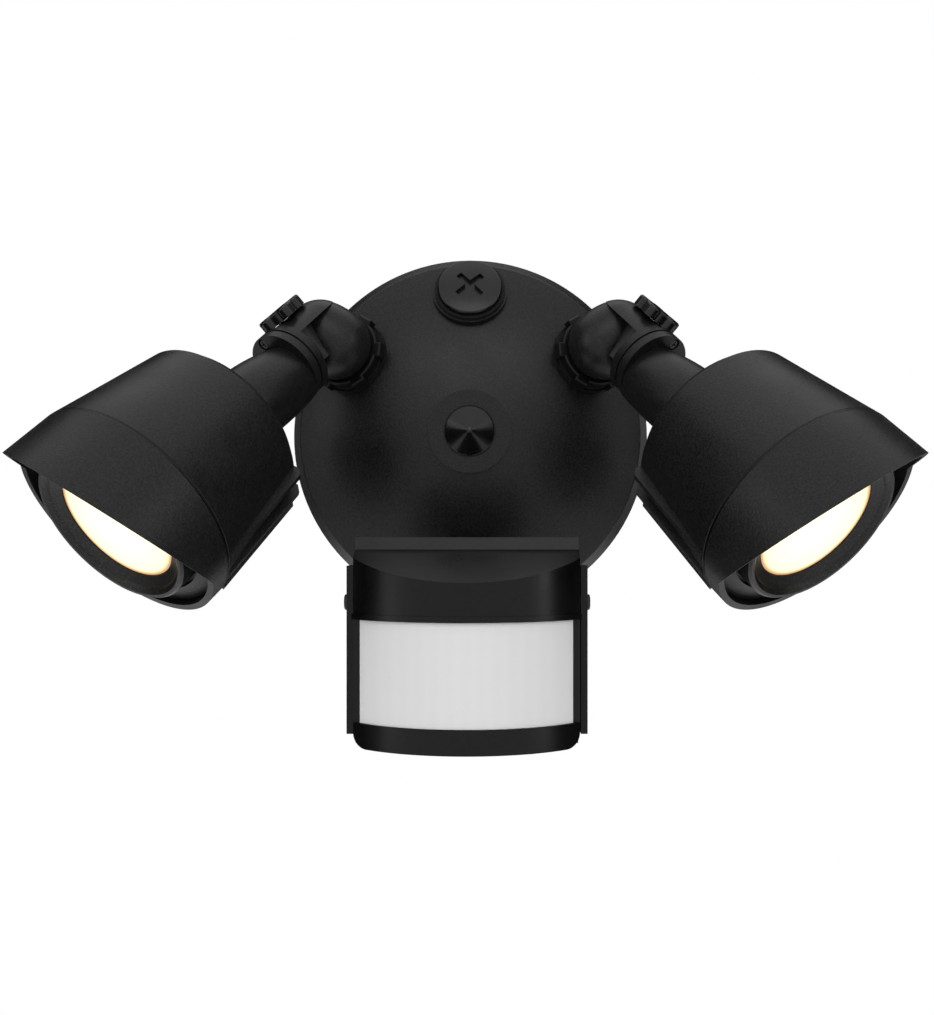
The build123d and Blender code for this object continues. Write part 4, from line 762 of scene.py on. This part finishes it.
@dataclass
class SensorWindow:
    """The bowed lens window: a band of milky plastic with shallow upright strips, in mm."""

    half_width: float = 30.85
    outer_radius: float = 40.75
    centre_y: float = -65.75
    back_y: float = -84.0
    low_z: float = -89.85
    high_z: float = -60.15
    wall: float = 1.4
    strip: float = 4.4
    strip_depth: float = 0.012
    across: int = 360
    down: int = 24
    along_end: int = 5

    def plan(self, inset: float, ribbed: bool) -> np.ndarray:
        """The band's line seen from above, from the left end round the bow to the right end.

        The bow is a circle of outer_radius less the inset about (0, centre_y). The ends run
        straight back from it to back_y at half_width less the inset. Each strip is half a
        cosine wave wide, and sinks by strip_depth where it meets the next one.

        Args:
            inset: how far inside the outer face, in mm.
            ribbed: whether the strips are on this face.

        Returns:
            The line's points, x and y in mm.
        """
        radius = self.outer_radius - inset
        half = self.half_width - inset
        swing = math.asin(half / radius)
        angle = np.linspace(-swing, swing, self.across)
        sunk = np.abs(np.sin(np.pi * angle * self.outer_radius / self.strip))
        bow = radius - (self.strip_depth * (1 - sunk) if ribbed else 0.0)
        x = np.clip(bow * np.sin(angle), -half, half)
        y = self.centre_y - bow * np.cos(angle)
        ends = np.linspace(self.back_y, y[0], self.along_end, endpoint=False)
        left = np.column_stack([np.full(self.along_end, -half), ends])
        right = np.column_stack([np.full(self.along_end, half), ends[::-1]])
        return np.vstack([left, np.column_stack([x, y]), right])

    def build(self) -> bpy.types.Object:
        """Makes the window: an outer and an inner sheet on one grid, joined round their edges.

        The point at step i along the plan and step j down is the plan's point i at a height
        that runs evenly from high_z to low_z. The inner sheet is the same with the wall as its
        inset, turned to face the other way.

        Returns:
            The window's object, at the origin.
        """
        lines = [self.plan(0.0, True), self.plan(self.wall, False)]
        count = len(lines[0])
        heights = np.linspace(self.high_z, self.low_z, self.down)
        sheets = []
        for line in lines:
            flat = np.repeat(line[None], self.down, axis=0)
            tall = np.repeat(heights[:, None], count, axis=1)[..., None]
            sheets.append(np.concatenate([flat, tall], axis=2).reshape(-1, 3))
        points = np.vstack(sheets) * MM
        grid = np.arange(self.down * count).reshape(self.down, count)
        outer = np.stack([grid[:-1, :-1], grid[1:, :-1], grid[1:, 1:], grid[:-1, 1:]], -1)
        inner = outer[..., ::-1] + grid.size
        rim = np.concatenate([grid[0], grid[1:, -1], grid[-1, -2::-1], grid[-2:0:-1, 0]])
        after = np.roll(rim, -1)
        edge = np.stack([rim, after, after + grid.size, rim + grid.size], -1)
        faces = np.vstack([outer.reshape(-1, 4), inner.reshape(-1, 4), edge])
        mesh = bpy.data.meshes.new("sensor_window")
        mesh.from_pydata(points.tolist(), [], faces.tolist())
        mesh.validate()
        mesh.update()
        window = bpy.data.objects.new("sensor_window", mesh)
        bpy.context.scene.collection.objects.link(window)
        return window


@dataclass
class MotionSensor:
    """The sensor head on its yoke, with its dials, board and window."""

    window: SensorWindow
    parts: tuple[str, ...] = (
        "sensor_yoke",
        "sensor_pan_screw",
        "sensor_rear_shell",
        "sensor_hood",
        "sensor_front_frame",
        "sensor_screws",
        "sensor_board",
        "pir_detector",
        "sensor_fresnel_lens",
        "sensitivity_dial",
        "duration_dial",
        "daylight_dial",
    )

    def dress(self, workshop: Workshop) -> None:
        """Puts the finishes on the sensor's parts and fits the moulded window.

        Args:
            workshop: where the finishes come from.
        """
        workshop.dress(list(self.parts))
        workshop.dress(["sensor_pivot_pins"], workshop.black_oxide)
        piece = self.window.build()
        piece.data.materials.append(workshop.finish(Slot.FRESNEL_LENS))
        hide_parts("sensor_fresnel_lens")
        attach(piece, "sensor_head")
        log.info("sensor_window: %d faces", len(piece.data.polygons))


@dataclass
class Softbox:
    """One studio light, in metres and watts."""

    name: str
    place: tuple[float, float, float]
    width: float
    height: float
    power: float

    def build(self, target: Vector) -> None:
        """Hangs the light facing a point.

        Args:
            target: the point that it faces.
        """
        lamp = bpy.data.lights.new(self.name, "AREA")
        lamp.shape = "RECTANGLE"
        lamp.size = self.width
        lamp.size_y = self.height
        lamp.energy = self.power
        hung = bpy.data.objects.new(self.name, lamp)
        hung.location = self.place
        facing = (target - Vector(self.place)).to_track_quat("-Z", "Y")
        hung.rotation_euler = facing.to_euler()
        bpy.context.scene.collection.objects.link(hung)


@dataclass
class DarkScreen:
    """A curved black cloth behind and beside the part, in metres.

    The eye doesn't see it. The coats reflect it at their edges, which keeps them black there.
    """

    radius: float = 0.95
    sweep: float = math.radians(112)
    low: float = -0.44
    high: float = 0.95

    def build(self) -> None:
        """Hangs the cloth, part of a cylinder: x is r sin a, y is r cos a, and z runs up."""
        angle, height = np.meshgrid(
            np.linspace(-self.sweep, self.sweep, 48), np.linspace(self.low, self.high, 8)
        )
        points = np.stack(
            [self.radius * np.sin(angle), self.radius * np.cos(angle), height], -1
        ).reshape(-1, 3)
        index = np.arange(angle.size).reshape(angle.shape)
        quads = np.stack(
            [index[:-1, :-1], index[1:, :-1], index[1:, 1:], index[:-1, 1:]], -1
        ).reshape(-1, 4)
        mesh = bpy.data.meshes.new("dark_screen")
        mesh.from_pydata(points.tolist(), [], quads.tolist())
        mesh.update()
        material, tree = empty_material("black_velvet")
        place = add_node(tree, "ShaderNodeTexCoord").outputs["Object"]
        pile = add_node(tree, "ShaderNodeTexNoise", {"Vector": place, "Scale": 90.0})
        tone = add_ramp(tree, pile.outputs["Fac"], [(0.3, "#101010"), (0.7, "#181818")])
        finish_surface(tree, add_node(tree, "ShaderNodeBsdfDiffuse", {"Color": tone}))
        mesh.materials.append(material)
        hung = bpy.data.objects.new("dark_screen", mesh)
        hung.visible_camera = False
        hung.visible_shadow = False
        bpy.context.scene.collection.objects.link(hung)


@dataclass
class Studio:
    """A white room: floor, sky, soft lights and the camera, in metres."""

    aim: tuple[float, float, float] = (0.0, -0.05, -0.02)
    floor_z: float = -0.45
    floor_radius: float = 4.0
    floor_hub: float = 0.02
    floor_rings: int = 12
    floor_spokes: int = 64
    ambient: float = 0.54
    eye: tuple[float, float, float] = (0.006, -0.462, -0.0367)
    lens_mm: float = 49.26
    shift: tuple[float, float] = (-0.0216, 0.0337)
    lights: tuple[Softbox, ...] = (
        Softbox("key_softbox", (0.0, -1.25, 0.85), 1.3, 0.7, 4.0),
        Softbox("left_strip", (-1.3, -0.55, 0.25), 0.3, 1.2, 2.6),
        Softbox("right_strip", (1.3, -0.55, 0.25), 0.3, 1.2, 2.6),
        Softbox("top_softbox", (0.0, 0.1, 1.3), 1.2, 0.8, 0.8),
        Softbox("left_back", (-1.0, 1.3, 0.1), 0.6, 0.9, 5.0),
        Softbox("right_back", (1.0, 1.3, 0.1), 0.6, 0.9, 5.0),
    )

    def backdrop_shader(
        self, tree: bpy.types.NodeTree, seen: bpy.types.Node, unseen: bpy.types.Node
    ) -> bpy.types.Node:
        """Shows one shader to the eye, gloss and glass, and the other to the rest.

        Args:
            tree: the tree that both shaders are in.
            seen: what the eye, gloss and glass meet.
            unseen: what lights the part.

        Returns:
            The node that mixes them.
        """
        ray = add_node(tree, "ShaderNodeLightPath").outputs
        gloss = add_node(
            tree,
            "ShaderNodeMath",
            {0: ray["Is Camera Ray"], 1: ray["Is Glossy Ray"]},
            operation="MAXIMUM",
        )
        glass = add_node(
            tree,
            "ShaderNodeMath",
            {0: gloss.outputs[0], 1: ray["Is Transmission Ray"]},
            operation="MAXIMUM",
        )
        return add_node(
            tree,
            "ShaderNodeMixShader",
            {0: glass.outputs[0], 1: unseen.outputs[0], 2: seen.outputs[0]},
        )

    def sky(self) -> None:
        """Surrounds the part with white, dimmer where it only lights the part."""
        world = bpy.data.worlds.new("white_room")
        world.use_nodes = True
        tree = world.node_tree
        tree.nodes.clear()
        seen, unseen = (
            add_node(
                tree,
                "ShaderNodeBackground",
                {"Strength": strength, "Color": linear(WHITE)},
            )
            for strength in (1.0, self.ambient)
        )
        shown = self.backdrop_shader(tree, seen, unseen)
        add_node(tree, "ShaderNodeOutputWorld", {"Surface": shown.outputs[0]})
        bpy.context.scene.world = world

    def floor(self) -> None:
        """Lays a round pale floor, a fan of rings: x is r cos a and y is r sin a."""
        radius, angle = np.meshgrid(
            np.linspace(self.floor_hub, self.floor_radius, self.floor_rings),
            np.linspace(0, 2 * np.pi, self.floor_spokes, endpoint=False),
        )
        height = np.full_like(radius, self.floor_z)
        points = np.stack([radius * np.cos(angle), radius * np.sin(angle), height], -1)
        index = np.arange(radius.size).reshape(radius.shape)
        nearer, further = index, np.roll(index, -1, axis=0)
        quads = np.stack(
            [nearer[:, :-1], nearer[:, 1:], further[:, 1:], further[:, :-1]], -1
        ).reshape(-1, 4)
        mesh = bpy.data.meshes.new("pale_floor")
        mesh.from_pydata(
            points.reshape(-1, 3).tolist(), [], [*quads.tolist(), index[:, 0].tolist()]
        )
        mesh.update()
        material, tree = empty_material("pale_paper")
        place = add_node(tree, "ShaderNodeTexCoord").outputs["Object"]
        fibre = add_node(tree, "ShaderNodeTexNoise", {"Vector": place, "Scale": 40.0})
        tone = add_ramp(tree, fibre.outputs["Fac"], [(0.3, "#F2F2F2"), (0.7, "#F7F7F7")])
        paper = add_node(tree, "ShaderNodeBsdfDiffuse", {"Color": tone})
        white = add_node(
            tree, "ShaderNodeEmission", {"Strength": 1.0, "Color": linear(WHITE)}
        )
        finish_surface(tree, self.backdrop_shader(tree, white, paper))
        mesh.materials.append(material)
        laid = bpy.data.objects.new("pale_floor", mesh)
        bpy.context.scene.collection.objects.link(laid)

    def camera(self) -> None:
        """Stands the camera level in front of the part."""
        camera = bpy.data.cameras.new("eye")
        camera.sensor_width = 36.0
        camera.sensor_fit = "HORIZONTAL"
        camera.lens = self.lens_mm
        camera.shift_x, camera.shift_y = self.shift
        stand = bpy.data.objects.new("eye", camera)
        stand.location = self.eye
        stand.rotation_euler = (math.pi / 2, 0.0, 0.0)
        bpy.context.scene.collection.objects.link(stand)
        bpy.context.scene.camera = stand

    def build(self) -> None:
        """Sets up the whole room."""
        self.sky()
        self.floor()
        DarkScreen().build()
        for light in self.lights:
            light.build(Vector(self.aim))
        self.camera()
        bpy.context.scene.view_settings.view_transform = "Standard"


def main() -> None:
    """Dresses each sub-assembly in order, then builds the room around it."""
    logging.basicConfig(level=logging.INFO, format="%(name)s: %(message)s")
    workshop = Workshop()
    Canopy().dress(workshop)
    for side in Side:
        Lamp(side).dress(workshop)
    MotionSensor(SensorWindow()).dress(workshop)
    Studio().build()


if __name__ == "__main__":
    main()
